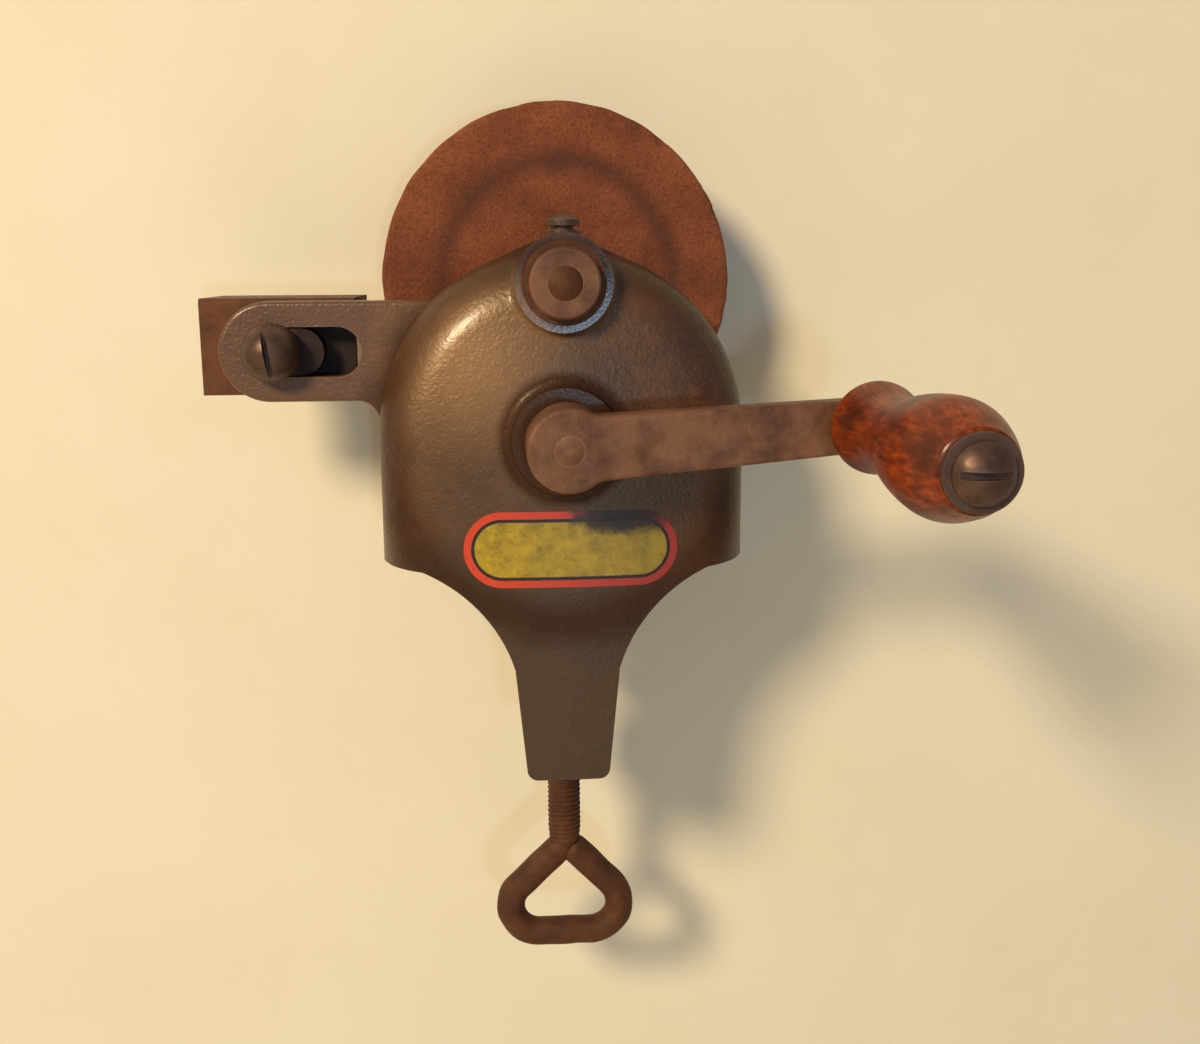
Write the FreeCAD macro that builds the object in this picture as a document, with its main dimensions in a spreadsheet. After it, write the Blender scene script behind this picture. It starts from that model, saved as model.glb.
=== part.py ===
import FreeCAD, Part
import math
import os
import re
import Sketcher
from FreeCAD import Placement, Rotation, Vector

# Hand crank bench grinder, in millimetres.
# Frame: +X to the operator's right, +Y away from the operator, +Z up. The origin lies on the
# bench seat, where the axis of the clamp screw meets it. The operator stands at -Y.

SIZES = {
    # grinding wheel and what holds it
    "wheel_diameter": 100,
    "wheel_width": 20,
    "wheel_bore": 20,
    "wheel_edge": 0.8,
    "flange_diameter": 25,
    "flange_thickness": 4,
    "flange_taper": 2.5,
    "paper_diameter": 25,
    "paper_thickness": 0.4,
    "nose_diameter": 10,
    "nose_beyond_nut": 3,
    "nose_chamfer": 1,
    "nut_width": 17,
    "nut_height": 8,
    # gear train
    "gear_module": 1,
    "gear_teeth": 72,
    "pinion_teeth": 9,
    "profile_shift": 0.45,
    "pressure_angle": 20,
    "tooth_thinning": 0.06,
    "gear_width": 8,
    "gear_web": 4,
    "gear_rim": 4.5,
    "gear_hub_diameter": 18,
    "gear_windows": 6,
    "window_diameter": 10,
    "gear_front": 22.5,
    "pinion_width": 13,
    "pinion_core": 7,
    "key_width": 3,
    "key_length": 12,
    # shafts and bearings
    "running_gap": 0.3,
    "bearing_play": 0.05,
    "seat_play": 0.02,
    "rear_journal": 12,
    "front_journal": 8.8,
    "spindle_dome": 1.4,
    "axle_diameter": 10,
    "axle_stub": 7.5,
    "rivet_head": 0.5,
    "rear_bush_diameter": 15,
    "rear_bush_proud": 0.8,
    "rear_boss_depth": 4.5,
    "front_bush_barrel": 14,
    "bush_cap_diameter": 18.1,
    "bush_cap_thickness": 3.5,
    "lock_ring_diameter": 21.6,
    "lock_ring_thickness": 3,
    "crank_bush_diameter": 14,
    "crank_bush_length": 12,
    "rear_crank_bush_length": 7.5,
    "cover_boss_depth": 8.5,
    "cover_boss_wall": 2.5,
    # gear case
    "drum_radius": 49.8,
    "case_wall": 4,
    "case_front": 33,
    "case_back": 1,
    "crown_bend": 220,
    "edge_bend": 16,
    "shoulder_height": 8,
    "crank_above_shoulder": 34.5,
    "gear_well": 0.9,
    "spindle_boss_radius": 12.7,
    "spindle_boss_front": 33.5,
    "spindle_pocket_radius": 9.8,
    "spindle_pocket_wall": 6,
    "gear_room_front": 2,
    "crank_boss_radius": 14,
    "crank_boss_front": 36.8,
    "crank_boss_wall": 3,
    "boss_fillet": 2.5,
    "hump_fillet": 2,
    "gasket_thickness": 0.5,
    "cover_thickness": 3,
    "cover_screw_diameter": 4,
    "cover_screw_head": 7,
    "cover_screw_head_height": 2.6,
    "cover_screw_length": 9,
    "cover_screw_spare": 1,
    "cover_screw_turn": 35,
    "cover_screw_slot": 1,
    "screw_boss_radius": 4.5,
    "screw_boss_depth": 13,
    "flank_screw_radius": 44.3,
    "flank_screw_angle": 40,
    "foot_screw_side": 41,
    "foot_screw_height": 15,
    "oil_cap_back": 28,
    "oil_cap_diameter": 8.8,
    "oil_cap_height": 2.8,
    "oil_cap_shank": 4,
    "oil_neck_diameter": 6,
    "oil_neck_height": 1.2,
    "oil_hole_diameter": 4,
    "oil_boss_radius": 4.6,
    "oil_boss_height": 0.6,
    # foot and clamp frame
    "foot_half": 26,
    "foot_back": 24,
    "foot_corner": 8,
    "apron_back": 22,
    "apron_shoulder_half": 38.5,
    "apron_shoulder_drop": 1,
    "apron_curve": 42,
    "apron_neck_half": 14.2,
    "apron_neck_drop": 28,
    "apron_bottom_half": 11.4,
    "apron_corner": 3,
    "jaw_drop": 51.7,
    "jaw_thickness": 14,
    "throat_fillet": 5,
    # tool rest arm on the case
    "rest_arm_height": 27,
    "rest_arm_centre_drop": 18.2,
    "rest_arm_reach": 92.3,
    "rest_arm_front": 12.3,
    "rest_arm_thickness": 8,
    "rest_arm_root_bend": 6,
    "rest_arm_edge": 1.2,
    "slot_height": 13.4,
    "slot_end_wall": 6.8,
    "slot_length": 31.5,
    # tool rest
    "rest_beyond_arm": 6.2,
    "rest_length": 42,
    "rest_depth": 36,
    "rest_thickness": 4,
    "rest_above_arm": 0.7,
    "rest_flange_height": 26.4,
    "rest_bend": 3,
    "rest_corner": 1.5,
    "lug_from_slot_end": 3.8,
    "lug_length": 17.5,
    "lug_short": 1,
    "screw_from_slot_end": 7.8,
    "rest_screw_diameter": 8,
    "rest_head_diameter": 15.4,
    "rest_head_collar": 4,
    "rest_head_dome": 6.5,
    "rest_head_slot": 1.6,
    "rest_head_turn": 82,
    "rest_washer_diameter": 14,
    "rest_washer_thickness": 1.4,
    "rest_nut_width": 13,
    "rest_nut_height": 6,
    "rest_screw_beyond_nut": 2,
    # crank and handle
    "crank_radius": 75.7,
    "crank_angle": 4.1,
    "crank_hub_diameter": 21.4,
    "crank_hub_length": 16,
    "crank_thickness": 7,
    "crank_root_width": 16.6,
    "crank_tip_width": 13.2,
    "crank_edge": 1.2,
    "crank_root_fillet": 5,
    "thrust_washer_diameter": 20,
    "thrust_washer_thickness": 1.2,
    "grip_length": 73,
    "grip_base_radius": 9.6,
    "grip_bead_radius": 11.6,
    "grip_bead_at": 4,
    "grip_bead_bend": 14,
    "grip_neck_radius": 9.2,
    "grip_neck_at": 20,
    "grip_belly_radius": 13.2,
    "grip_belly_at": 56,
    "grip_belly_bend": 84,
    "grip_end_radius": 8.7,
    "handle_bolt_diameter": 8,
    "handle_head_diameter": 12.8,
    "handle_head_height": 4.2,
    "handle_head_collar": 1,
    "handle_head_slot": 1.6,
    "handle_washer_diameter": 16.2,
    "handle_washer_thickness": 1.5,
    "handle_nut_width": 13,
    "handle_nut_height": 5,
    "handle_bolt_beyond_nut": 1,
    # clamp screw
    "screw_diameter": 10,
    "rod_diameter": 9,
    "pad_open": 22,
    "pad_diameter": 22,
    "pad_thickness": 6,
    "pad_face_diameter": 14,
    "pad_recess_diameter": 10,
    "pad_recess_depth": 2.5,
    "spigot_diameter": 7,
    "spigot_head_diameter": 9,
    "spigot_head_thickness": 1.4,
    "stem_length": 57.2,
    "neck_bend": 6,
    "loop_height": 29.1,
    "loop_left": 29.8,
    "loop_right": 28.7,
    "loop_bend": 9,
    "loop_end_side": 4.7,
    "loop_end_drop": 2.3,
    # how far a cutter runs past a face, and how far a joined piece is sunk in its neighbour
    "run_out": 1,
    "sunk": 1,
}

doc = FreeCAD.newDocument("bench_grinder")
sheet = doc.addObject("Spreadsheet::Sheet", "Sizes")
for row, (name, size) in enumerate(SIZES.items(), 1):
    sheet.set(f"A{row}", name)
    sheet.set(f"B{row}", str(size))
    sheet.setAlias(f"B{row}", name)
doc.recompute()

subparts = []


def tied(text):
    """An expression of the sheet's cells from one written with their plain names."""
    def cell(word):
        name = word.group()
        return "Sizes." + name if name in SIZES else name
    return re.sub(r"[a-z]\w*", cell, text)


def value(text):
    """What such an expression comes to, as a number."""
    result = sheet.evalExpression(tied(text))
    return float(getattr(result, "Value", result))


def bind(thing, **expressions):
    """Tie properties of an object to the sheet."""
    for prop, text in expressions.items():
        thing.setExpression(prop.replace("__", "."), tied(text))


def part_of(thing, label):
    """Take an object as a sub-part: its label names its file."""
    thing.Label = label
    subparts.append(thing)
    return thing


# Heights and stations that follow from the sizes, as expressions

CENTRE_DISTANCE = "(gear_module * (gear_teeth + pinion_teeth) / 2)"
CRANK_HEIGHT = "(shoulder_height + crank_above_shoulder)"
SPINDLE_HEIGHT = f"({CRANK_HEIGHT} + {CENTRE_DISTANCE})"
GEAR_TIP = "(gear_module * (gear_teeth / 2 + 1 - profile_shift))"

COVER_FRONT = "(case_back + gasket_thickness)"
COVER_BACK = f"({COVER_FRONT} + cover_thickness)"
REAR_BUSH_BACK = f"({COVER_BACK} + rear_bush_proud)"
INNER_FLANGE_FRONT = f"({REAR_BUSH_BACK} + running_gap)"
WHEEL_FRONT = f"({INNER_FLANGE_FRONT} + flange_thickness + paper_thickness)"
WHEEL_BACK = f"({WHEEL_FRONT} + wheel_width)"
OUTER_FLANGE_FRONT = f"({WHEEL_BACK} + paper_thickness)"
NUT_FRONT = f"({OUTER_FLANGE_FRONT} + flange_thickness)"
SPINDLE_BACK = f"({NUT_FRONT} + nut_height + nose_beyond_nut)"

CAP_FACE = "(0 - spindle_boss_front - lock_ring_thickness - bush_cap_thickness)"
PINION_FRONT = "(0 - gear_front - (pinion_width - gear_width) / 2)"
FRONT_BUSH_BACK = f"({PINION_FRONT} - running_gap)"

CRANK_BUSH_BACK = "(crank_bush_length - crank_boss_front)"
GEAR_HUB_FRONT = f"({CRANK_BUSH_BACK} + running_gap)"
REAR_CRANK_BUSH_FRONT = f"({COVER_FRONT} - cover_boss_depth)"
GEAR_HUB_BACK = f"({REAR_CRANK_BUSH_FRONT} - running_gap)"
AXLE_BACK = f"({REAR_CRANK_BUSH_FRONT} + rear_crank_bush_length - running_gap)"
HUB_BACK = "(0 - crank_boss_front - running_gap - thrust_washer_thickness)"
HUB_FACE = f"({HUB_BACK} - crank_hub_length)"
ARM_BACK = f"({HUB_FACE} + crank_thickness)"
GRIP_BASE = f"({HUB_FACE} - running_gap)"
GRIP_END = f"({GRIP_BASE} - grip_length)"
HANDLE_X = "(crank_radius * cos(crank_angle * 1 deg))"
HANDLE_Z = f"({CRANK_HEIGHT} + crank_radius * sin(crank_angle * 1 deg))"

REST_ARM_CENTRE = f"({SPINDLE_HEIGHT} - rest_arm_centre_drop)"
REST_ARM_BACK = "(rest_arm_thickness - rest_arm_front)"
REST_FRONT = f"({REST_ARM_BACK} + running_gap)"
SLOT_OUTER = "(rest_arm_reach - slot_end_wall)"
SLOT_INNER = f"({SLOT_OUTER} - slot_length)"
LUG_OUTER = f"({SLOT_OUTER} - lug_from_slot_end)"
REST_OUTER = "(rest_arm_reach + rest_beyond_arm)"
REST_SCREW_X = f"(screw_from_slot_end - {SLOT_OUTER})"
REST_TOP = f"({REST_ARM_CENTRE} + rest_arm_height / 2 + rest_above_arm)"

PAD_BOTTOM = "(0 - pad_open - pad_thickness)"
RECESS_FLOOR = "(0 - pad_open - pad_recess_depth)"
JAW_TOP = "(jaw_thickness - jaw_drop)"


# Sketches whose corners are tied to the sheet

def draw(sketch, corners):
    """A closed outline. Each corner is (x, y), or (x, y, side, radius) when an arc leaves it
    with its centre on that side of the way to the next corner."""
    spots = [Vector(value(corner[0]), value(corner[1]), 0) for corner in corners]
    before = sketch.GeometryCount
    ends = []
    for number, corner in enumerate(corners):
        start = spots[number]
        finish = spots[(number + 1) % len(spots)]
        if len(corner) == 2:
            sketch.addGeometry(Part.LineSegment(start, finish))
            ends.append((1, 2))
            continue
        turns_left = corner[2] == "left"
        radius = value(corner[3])
        chord = finish - start
        across = Vector(-chord.y, chord.x, 0).normalize() * (1 if turns_left else -1)
        centre = (start + finish) * 0.5 + across * math.sqrt(max(radius ** 2 - chord.Length ** 2 / 4, 0))
        first, last = (start, finish) if turns_left else (finish, start)
        opens = math.atan2(first.y - centre.y, first.x - centre.x)
        closes = math.atan2(last.y - centre.y, last.x - centre.x)
        if closes < opens:
            closes += 2 * math.pi
        circle = Part.Circle(centre, Vector(0, 0, 1), radius)
        sketch.addGeometry(Part.ArcOfCircle(circle, opens, closes))
        ends.append((1, 2) if turns_left else (2, 1))
    for number, corner in enumerate(corners):
        edge = before + number
        after = (number + 1) % len(corners)
        sketch.addConstraint(
            Sketcher.Constraint("Coincident", edge, ends[number][1], before + after, ends[after][0]))
        fix(sketch, "DistanceX", (-1, 1, edge, ends[number][0]), corner[0])
        fix(sketch, "DistanceY", (-1, 1, edge, ends[number][0]), corner[1])
        if len(corner) == 4:
            fix(sketch, "Radius", (edge,), corner[3])


def ring(sketch, x, y, diameter):
    """A circle in a sketch."""
    edge = sketch.GeometryCount
    sketch.addGeometry(Part.Circle(Vector(value(x), value(y), 0), Vector(0, 0, 1), value(diameter) / 2))
    fix(sketch, "DistanceX", (-1, 1, edge, 3), x)
    fix(sketch, "DistanceY", (-1, 1, edge, 3), y)
    fix(sketch, "Diameter", (edge,), diameter)


def fix(sketch, kind, where, text):
    """A dimension in a sketch, tied to the sheet."""
    number = sketch.addConstraint(Sketcher.Constraint(kind, *where, value(text)))
    sketch.setExpression(f"Constraints[{number}]", tied(text))


def plane_of(body, role):
    return next(feature for feature in body.Origin.OriginFeatures if feature.Role == role)


def sketch_on(body, role, offset=None):
    """A sketch on one of the body's own planes, moved along its normal."""
    sketch = body.newObject("Sketcher::SketchObject", "sketch")
    sketch.AttachmentSupport = (plane_of(body, role), [""])
    sketch.MapMode = "FlatFace"
    if offset is not None:
        sketch.setExpression("AttachmentOffset.Base.z", tied(offset))
    return sketch


def outline(body, role, offset, *loops):
    sketch = sketch_on(body, role, offset)
    for corners in loops:
        draw(sketch, corners)
    return sketch


def new_body(label):
    return part_of(doc.addObject("PartDesign::Body", label), label)


def pad(body, sketch, length, reverse=False):
    feature = body.newObject("PartDesign::Pad", "pad")
    feature.Profile = sketch
    feature.Reversed = reverse
    bind(feature, Length=length)
    doc.recompute()
    return feature


def must_cut(body, feature, before):
    doc.recompute()
    if body.Shape.Volume > before - 1e-6:
        raise RuntimeError(f"{body.Label}: {feature.Name} cut nothing")
    return feature


def pocket(body, sketch, length, reverse=False):
    before = body.Shape.Volume
    feature = body.newObject("PartDesign::Pocket", "pocket")
    feature.Profile = sketch
    feature.Reversed = reverse
    bind(feature, Length=length)
    return must_cut(body, feature, before)


def turn(body, sketch, kind="PartDesign::Revolution", angle=360, reverse=False):
    """Revolve a sketch round its own vertical axis."""
    before = body.Shape.Volume if body.Tip else 0
    feature = body.newObject(kind, "turned")
    feature.Profile = sketch
    feature.ReferenceAxis = (sketch, ["V_Axis"])
    feature.Angle = angle
    feature.Reversed = reverse
    doc.recompute()
    if kind == "PartDesign::Groove":
        must_cut(body, feature, before)
    return feature


def turned(label, corners, x="0", height="0"):
    """A turned piece on an axis along Y: each corner is (radius, station along Y)."""
    body = new_body(label)
    turn(body, outline(body, "XY_Plane", None, corners))
    bind(body, Placement__Base__x=x, Placement__Base__z=height)
    doc.recompute()
    return body


def tube(inner, outer, front, back):
    """The profile of a plain bush or washer."""
    return [(f"{inner} / 2", front), (f"{outer} / 2", front), (f"{outer} / 2", back), (f"{inner} / 2", back)]


def hex_nut(label, width, height, bore, front, x, z):
    """A hexagon nut on an axis along Y, with a round hole of the thread's size."""
    prism = doc.addObject("Part::Prism", label + "_hexagon")
    prism.Polygon = 6
    bind(prism, Circumradius=f"{width} / sqrt(3)", Height=height)
    hole = doc.addObject("Part::Cylinder", label + "_hole")
    bind(hole, Radius=f"({bore} + seat_play) / 2", Height=height)
    nut = doc.addObject("Part::Cut", label)
    nut.Base = prism
    nut.Tool = hole
    nut.Placement.Rotation = Rotation(Vector(1, 0, 0), -90)
    bind(nut, Placement__Base__x=x, Placement__Base__y=front, Placement__Base__z=z)
    doc.recompute()
    return part_of(nut, label)


# Section of the domed drum, seen from above: a shallow crown that runs into a rounded edge

def dome_values(inset):
    """Centre of the edge's arc and the point where the crown meets it, for a skin set in by a wall."""
    edge_x = "(drum_radius - edge_bend)"
    gap = "(crown_bend - edge_bend)"
    rise = f"sqrt({gap} ^ 2 - {edge_x} ^ 2)"
    edge_y = f"(crown_bend - case_front - {rise})"
    crown = f"(crown_bend - {inset})"
    meet_x = f"({crown} * {edge_x} / {gap})"
    meet_y = f"(crown_bend - case_front - {crown} * {rise} / {gap})"
    return edge_y, meet_x, meet_y


def half_dome(inset, back):
    """Half of the section, from the drum's axis out to its side."""
    edge_y, meet_x, meet_y = dome_values(inset)
    return [
        ("0", back),
        ("0", f"{inset} - case_front", "left", f"crown_bend - {inset}"),
        (meet_x, meet_y, "left", f"edge_bend - {inset}"),
        (f"drum_radius - {inset}", edge_y),
        (f"drum_radius - {inset}", back),
    ]


def full_dome(inset, back):
    """The whole section, from one side of the drum to the other."""
    edge_y, meet_x, meet_y = dome_values(inset)
    return [
        (f"{inset} - drum_radius", back),
        (f"{inset} - drum_radius", edge_y, "left", f"edge_bend - {inset}"),
        (f"0 - {meet_x}", meet_y, "left", f"crown_bend - {inset}"),
        (meet_x, meet_y, "left", f"edge_bend - {inset}"),
        (f"drum_radius - {inset}", edge_y),
        (f"drum_radius - {inset}", back),
    ]


def arch(inset, lift="0"):
    """Front view of the drum with its straight sides and the hump round the spindle boss."""
    boss = f"(spindle_boss_radius - {inset})"
    drum = f"(drum_radius - {inset})"
    rise = f"((drum_radius - spindle_boss_radius) / {CENTRE_DISTANCE})"
    lean = f"sqrt(1 - {rise} ^ 2)"
    foot = f"shoulder_height + {inset} + {lift}"
    return [
        (f"0 - {drum}", foot),
        (drum, foot),
        (drum, CRANK_HEIGHT, "left", drum),
        (f"{drum} * {lean}", f"{CRANK_HEIGHT} + {drum} * {rise}"),
        (f"{boss} * {lean}", f"{SPINDLE_HEIGHT} + {boss} * {rise}", "left", boss),
        (f"0 - {boss} * {lean}", f"{SPINDLE_HEIGHT} + {boss} * {rise}"),
        (f"0 - {drum} * {lean}", f"{CRANK_HEIGHT} + {drum} * {rise}", "left", drum),
        (f"0 - {drum}", CRANK_HEIGHT),
    ]


def disc(body, x, z, radius, front, back, cut=False):
    """A round boss or a round hole along Y."""
    sketch = sketch_on(body, "XZ_Plane", f"0 - {back}")
    ring(sketch, x, z, f"2 * {radius}")
    return (pocket if cut else pad)(body, sketch, f"{back} - {front}", cut)


def edges_at(shape, test):
    """Names of the edges whose middle passes a test."""
    names = []
    for number, edge in enumerate(shape.Edges, 1):
        middle = edge.valueAt((edge.FirstParameter + edge.LastParameter) / 2)
        if test(middle):
            names.append(f"Edge{number}")
    return names


def round_edges(body, test, radius):
    doc.recompute()
    base = body.Tip
    names = edges_at(base.Shape, test)
    if not names:
        raise RuntimeError(f"{body.Label}: no edge to round")
    feature = body.newObject("PartDesign::Fillet", "fillet")
    feature.Base = (base, names)
    bind(feature, Radius=radius)
    doc.recompute()
    return feature


# Gear case: one casting with the drum, the foot, the clamp frame and the arm of the tool rest

SCREW_SPOTS = [
    (f"{side} * flank_screw_radius * cos(flank_screw_angle * 1 deg)",
     f"{CRANK_HEIGHT} + flank_screw_radius * sin(flank_screw_angle * 1 deg)")
    for side in ("1", "(0 - 1)")
] + [(f"{side} * foot_screw_side", "foot_screw_height") for side in ("1", "(0 - 1)")]


def case_drum(body):
    """The domed drum: half a turn above the crank, straight down below it."""
    turn(body, outline(body, "XY_Plane", CRANK_HEIGHT, half_dome("0", "case_back")), angle=180, reverse=True)
    sketch = outline(body, "XY_Plane", CRANK_HEIGHT, full_dome("0", "case_back"))
    pad(body, sketch, f"{CRANK_HEIGHT} - shoulder_height", True)
    edge_y = dome_values("0")[0]
    pad(body, outline(body, "XZ_Plane", "0 - case_back", arch("0")), f"case_back - {edge_y}")


def case_apron(body):
    """The front plate of the clamp frame, with the drum's own crown and drawn-in sides."""
    edge_y, meet_x, meet_y = dome_values("0")
    side = f"(drum_radius - edge_bend + sqrt(edge_bend ^ 2 - (apron_back + {edge_y}) ^ 2))"
    sketch = outline(body, "XY_Plane", "shoulder_height", [
        (f"0 - {side}", "0 - apron_back", "left", "edge_bend"),
        (f"0 - {meet_x}", meet_y, "left", "crown_bend"),
        (meet_x, meet_y, "left", "edge_bend"),
        (side, "0 - apron_back"),
    ])
    pad(body, sketch, "shoulder_height + jaw_drop", True)
    loops = []
    for sign in ("1", "(0 - 1)"):
        inner, outer = ("left", "right") if sign == "1" else ("right", "left")
        loops.append([
            (f"{sign} * (drum_radius + run_out)", "shoulder_height"),
            (f"{sign} * drum_radius", "shoulder_height"),
            (f"{sign} * apron_shoulder_half", "shoulder_height - apron_shoulder_drop", inner, "apron_curve"),
            (f"{sign} * apron_neck_half", "shoulder_height - apron_neck_drop"),
            (f"{sign} * apron_bottom_half", "apron_corner - jaw_drop", outer, "apron_corner"),
            (f"{sign} * (apron_bottom_half - apron_corner)", "0 - jaw_drop"),
            (f"{sign} * (apron_bottom_half - apron_corner)", "0 - jaw_drop - run_out"),
            (f"{sign} * (drum_radius + run_out)", "0 - jaw_drop - run_out"),
        ])
    for loop in loops:
        pocket(body, outline(body, "XZ_Plane", "apron_back - run_out", loop), "case_front", True)


def case_foot(body):
    """The seat on the bench and the jaw under it that carries the clamp screw."""
    half, back, corner = "foot_half", "foot_back", "foot_corner"
    pad(body, outline(body, "XY_Plane", None, [
        (f"0 - {half}", "0 - apron_back - sunk"),
        (half, "0 - apron_back - sunk"),
        (half, f"{back} - {corner}", "left", corner),
        (f"{half} - {corner}", back),
        (f"{corner} - {half}", back, "left", corner),
        (f"0 - {half}", f"{back} - {corner}"),
    ]), "shoulder_height")
    pad(body, outline(body, "XY_Plane", "0 - jaw_drop", [
        ("0 - apron_bottom_half", "0 - apron_back - sunk"),
        ("apron_bottom_half", "0 - apron_back - sunk"),
        ("apron_bottom_half", "0", "left", "apron_bottom_half"),
        ("0", "apron_bottom_half", "left", "apron_bottom_half"),
        ("0 - apron_bottom_half", "0"),
    ]), "jaw_thickness")


def case_rest_arm(body):
    """The slotted arm that carries the tool rest, with a hollow corner under its root."""
    half = "rest_arm_height / 2"
    bottom = f"({REST_ARM_CENTRE} - {half})"
    end = f"({half} - rest_arm_reach)"
    bend = "rest_arm_root_bend"
    pad(body, outline(body, "XZ_Plane", f"0 - {REST_ARM_BACK}", [
        (end, bottom),
        (f"0 - drum_radius - {bend}", bottom, "right", bend),
        ("0 - drum_radius", f"{bottom} - {bend}"),
        ("0 - drum_radius / 2", f"{bottom} - {bend}"),
        ("0 - drum_radius / 2", f"{REST_ARM_CENTRE} + {half}"),
        (end, f"{REST_ARM_CENTRE} + {half}", "left", half),
        ("0 - rest_arm_reach", REST_ARM_CENTRE, "left", half),
    ]), "rest_arm_thickness")
    pocket(body, outline(body, "XZ_Plane", f"0 - {REST_ARM_BACK}", slot_loop(
        SLOT_OUTER, SLOT_INNER, "slot_height")), "rest_arm_thickness", True)


def slot_loop(outer, inner, height):
    """A slot with round ends on the arm's centre line."""
    half = f"{height} / 2"
    left = f"({half} - {outer})"
    right = f"(0 - {inner} - {half})"
    return [
        (left, f"{REST_ARM_CENTRE} - {half}"),
        (right, f"{REST_ARM_CENTRE} - {half}", "left", half),
        (f"0 - {inner}", REST_ARM_CENTRE, "left", half),
        (right, f"{REST_ARM_CENTRE} + {half}"),
        (left, f"{REST_ARM_CENTRE} + {half}", "left", half),
        (f"0 - {outer}", REST_ARM_CENTRE, "left", half),
    ]


def case_hollow(body):
    """The room for the gears, with the bosses that stand in it."""
    half = outline(body, "XY_Plane", CRANK_HEIGHT, half_dome("case_wall", "case_back"))
    turn(body, half, "PartDesign::Groove", 180, True)
    full = outline(body, "XY_Plane", CRANK_HEIGHT, full_dome("case_wall", "case_back"))
    pocket(body, full, f"{CRANK_HEIGHT} - shoulder_height - case_wall")
    disc(body, "0", CRANK_HEIGHT, f"({GEAR_TIP} + gear_well)", "(0 - gear_front - gear_room_front)", "case_back", True)
    disc(body, "0", SPINDLE_HEIGHT, "spindle_pocket_radius", "(spindle_pocket_wall - spindle_boss_front)", "case_back", True)
    for x, z in SCREW_SPOTS:
        disc(body, x, z, "screw_boss_radius", "(case_back - screw_boss_depth)", "case_back")
        disc(body, x, z, "(cover_screw_diameter + seat_play) / 2",
             "(case_back - cover_screw_length)", "case_back", True)


def case_bearings(body):
    """The bosses and bores of the spindle, the crank and the clamp screw."""
    disc(body, "0", CRANK_HEIGHT, "(crank_bush_diameter / 2 + crank_boss_wall)",
         "(case_wall - case_front - sunk)", f"({CRANK_BUSH_BACK})")
    disc(body, "0", CRANK_HEIGHT, "(crank_bush_diameter + seat_play) / 2",
         "(0 - crank_boss_front - run_out)", f"({CRANK_BUSH_BACK} + run_out)", True)
    disc(body, "0", SPINDLE_HEIGHT, "(front_bush_barrel + seat_play) / 2",
         "(0 - spindle_boss_front - run_out)", f"({FRONT_BUSH_BACK} + run_out)", True)
    sketch = sketch_on(body, "XY_Plane", "0 - jaw_drop")
    ring(sketch, "0", "0", "screw_diameter + 2 * bearing_play")
    pocket(body, sketch, "jaw_thickness", True)
    sketch = sketch_on(body, "XY_Plane", f"{SPINDLE_HEIGHT} + spindle_boss_radius + oil_boss_height")
    ring(sketch, "0", "0 - oil_cap_back", "oil_hole_diameter + seat_play")
    pocket(body, sketch, "oil_boss_height + spindle_boss_radius - front_bush_barrel / 2")


def off_axis(spot, x, z):
    return math.hypot(spot.x - value(x), spot.z - value(z))


def case_blends(body):
    """The soft corners of the casting: round its bosses, over the jaw and along the front of the arm."""
    crown = value("0 - case_front")
    edge_y = value(dome_values("0")[0])
    boss = value("crank_boss_radius")
    hump = value("spindle_boss_radius")
    throat = value("0 - apron_back")
    arm = value("0 - rest_arm_front")
    ahead = value("(spindle_boss_radius * 2 / 3)")
    beyond_root = value("drum_radius + rest_arm_root_bend")
    slot_outer, slot_inner = value(f"0 - {SLOT_OUTER}"), value(f"0 - {SLOT_INNER}")
    half_slot = value("slot_height / 2 + seat_play")
    middle = value(REST_ARM_CENTRE)

    def round_crank_boss(spot):
        return abs(off_axis(spot, "0", CRANK_HEIGHT) - boss) < 0.05 and crown - 0.1 < spot.y < crown + 2

    def round_hump(spot):
        return (abs(off_axis(spot, "0", SPINDLE_HEIGHT) - hump) < 0.05 and crown < spot.y < edge_y
                and spot.z < value(SPINDLE_HEIGHT) + ahead)

    def over_jaw(spot):
        return abs(spot.y - throat) < 0.05 and abs(spot.z - value(JAW_TOP)) < 0.05

    def arm_rim(spot):
        in_slot = slot_outer < spot.x < slot_inner and abs(spot.z - middle) < half_slot
        return abs(spot.y - arm) < 0.05 and off_axis(spot, "0", CRANK_HEIGHT) > beyond_root and not in_slot

    round_edges(body, round_crank_boss, "boss_fillet")
    round_edges(body, round_hump, "hump_fillet")
    round_edges(body, over_jaw, "throat_fillet")
    round_edges(body, arm_rim, "rest_arm_edge")


def gear_case():
    body = new_body("gear_case")
    case_drum(body)
    case_apron(body)
    case_foot(body)
    case_rest_arm(body)
    disc(body, "0", SPINDLE_HEIGHT, "spindle_boss_radius", "(0 - spindle_boss_front)", "case_back")
    disc(body, "0", CRANK_HEIGHT, "crank_boss_radius", "(0 - crank_boss_front)", "(sunk - case_front)")
    sketch = sketch_on(body, "XY_Plane", SPINDLE_HEIGHT)
    ring(sketch, "0", "0 - oil_cap_back", "2 * oil_boss_radius")
    pad(body, sketch, "spindle_boss_radius + oil_boss_height")
    case_blends(body)
    case_hollow(body)
    case_bearings(body)


# Casing pieces

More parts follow.
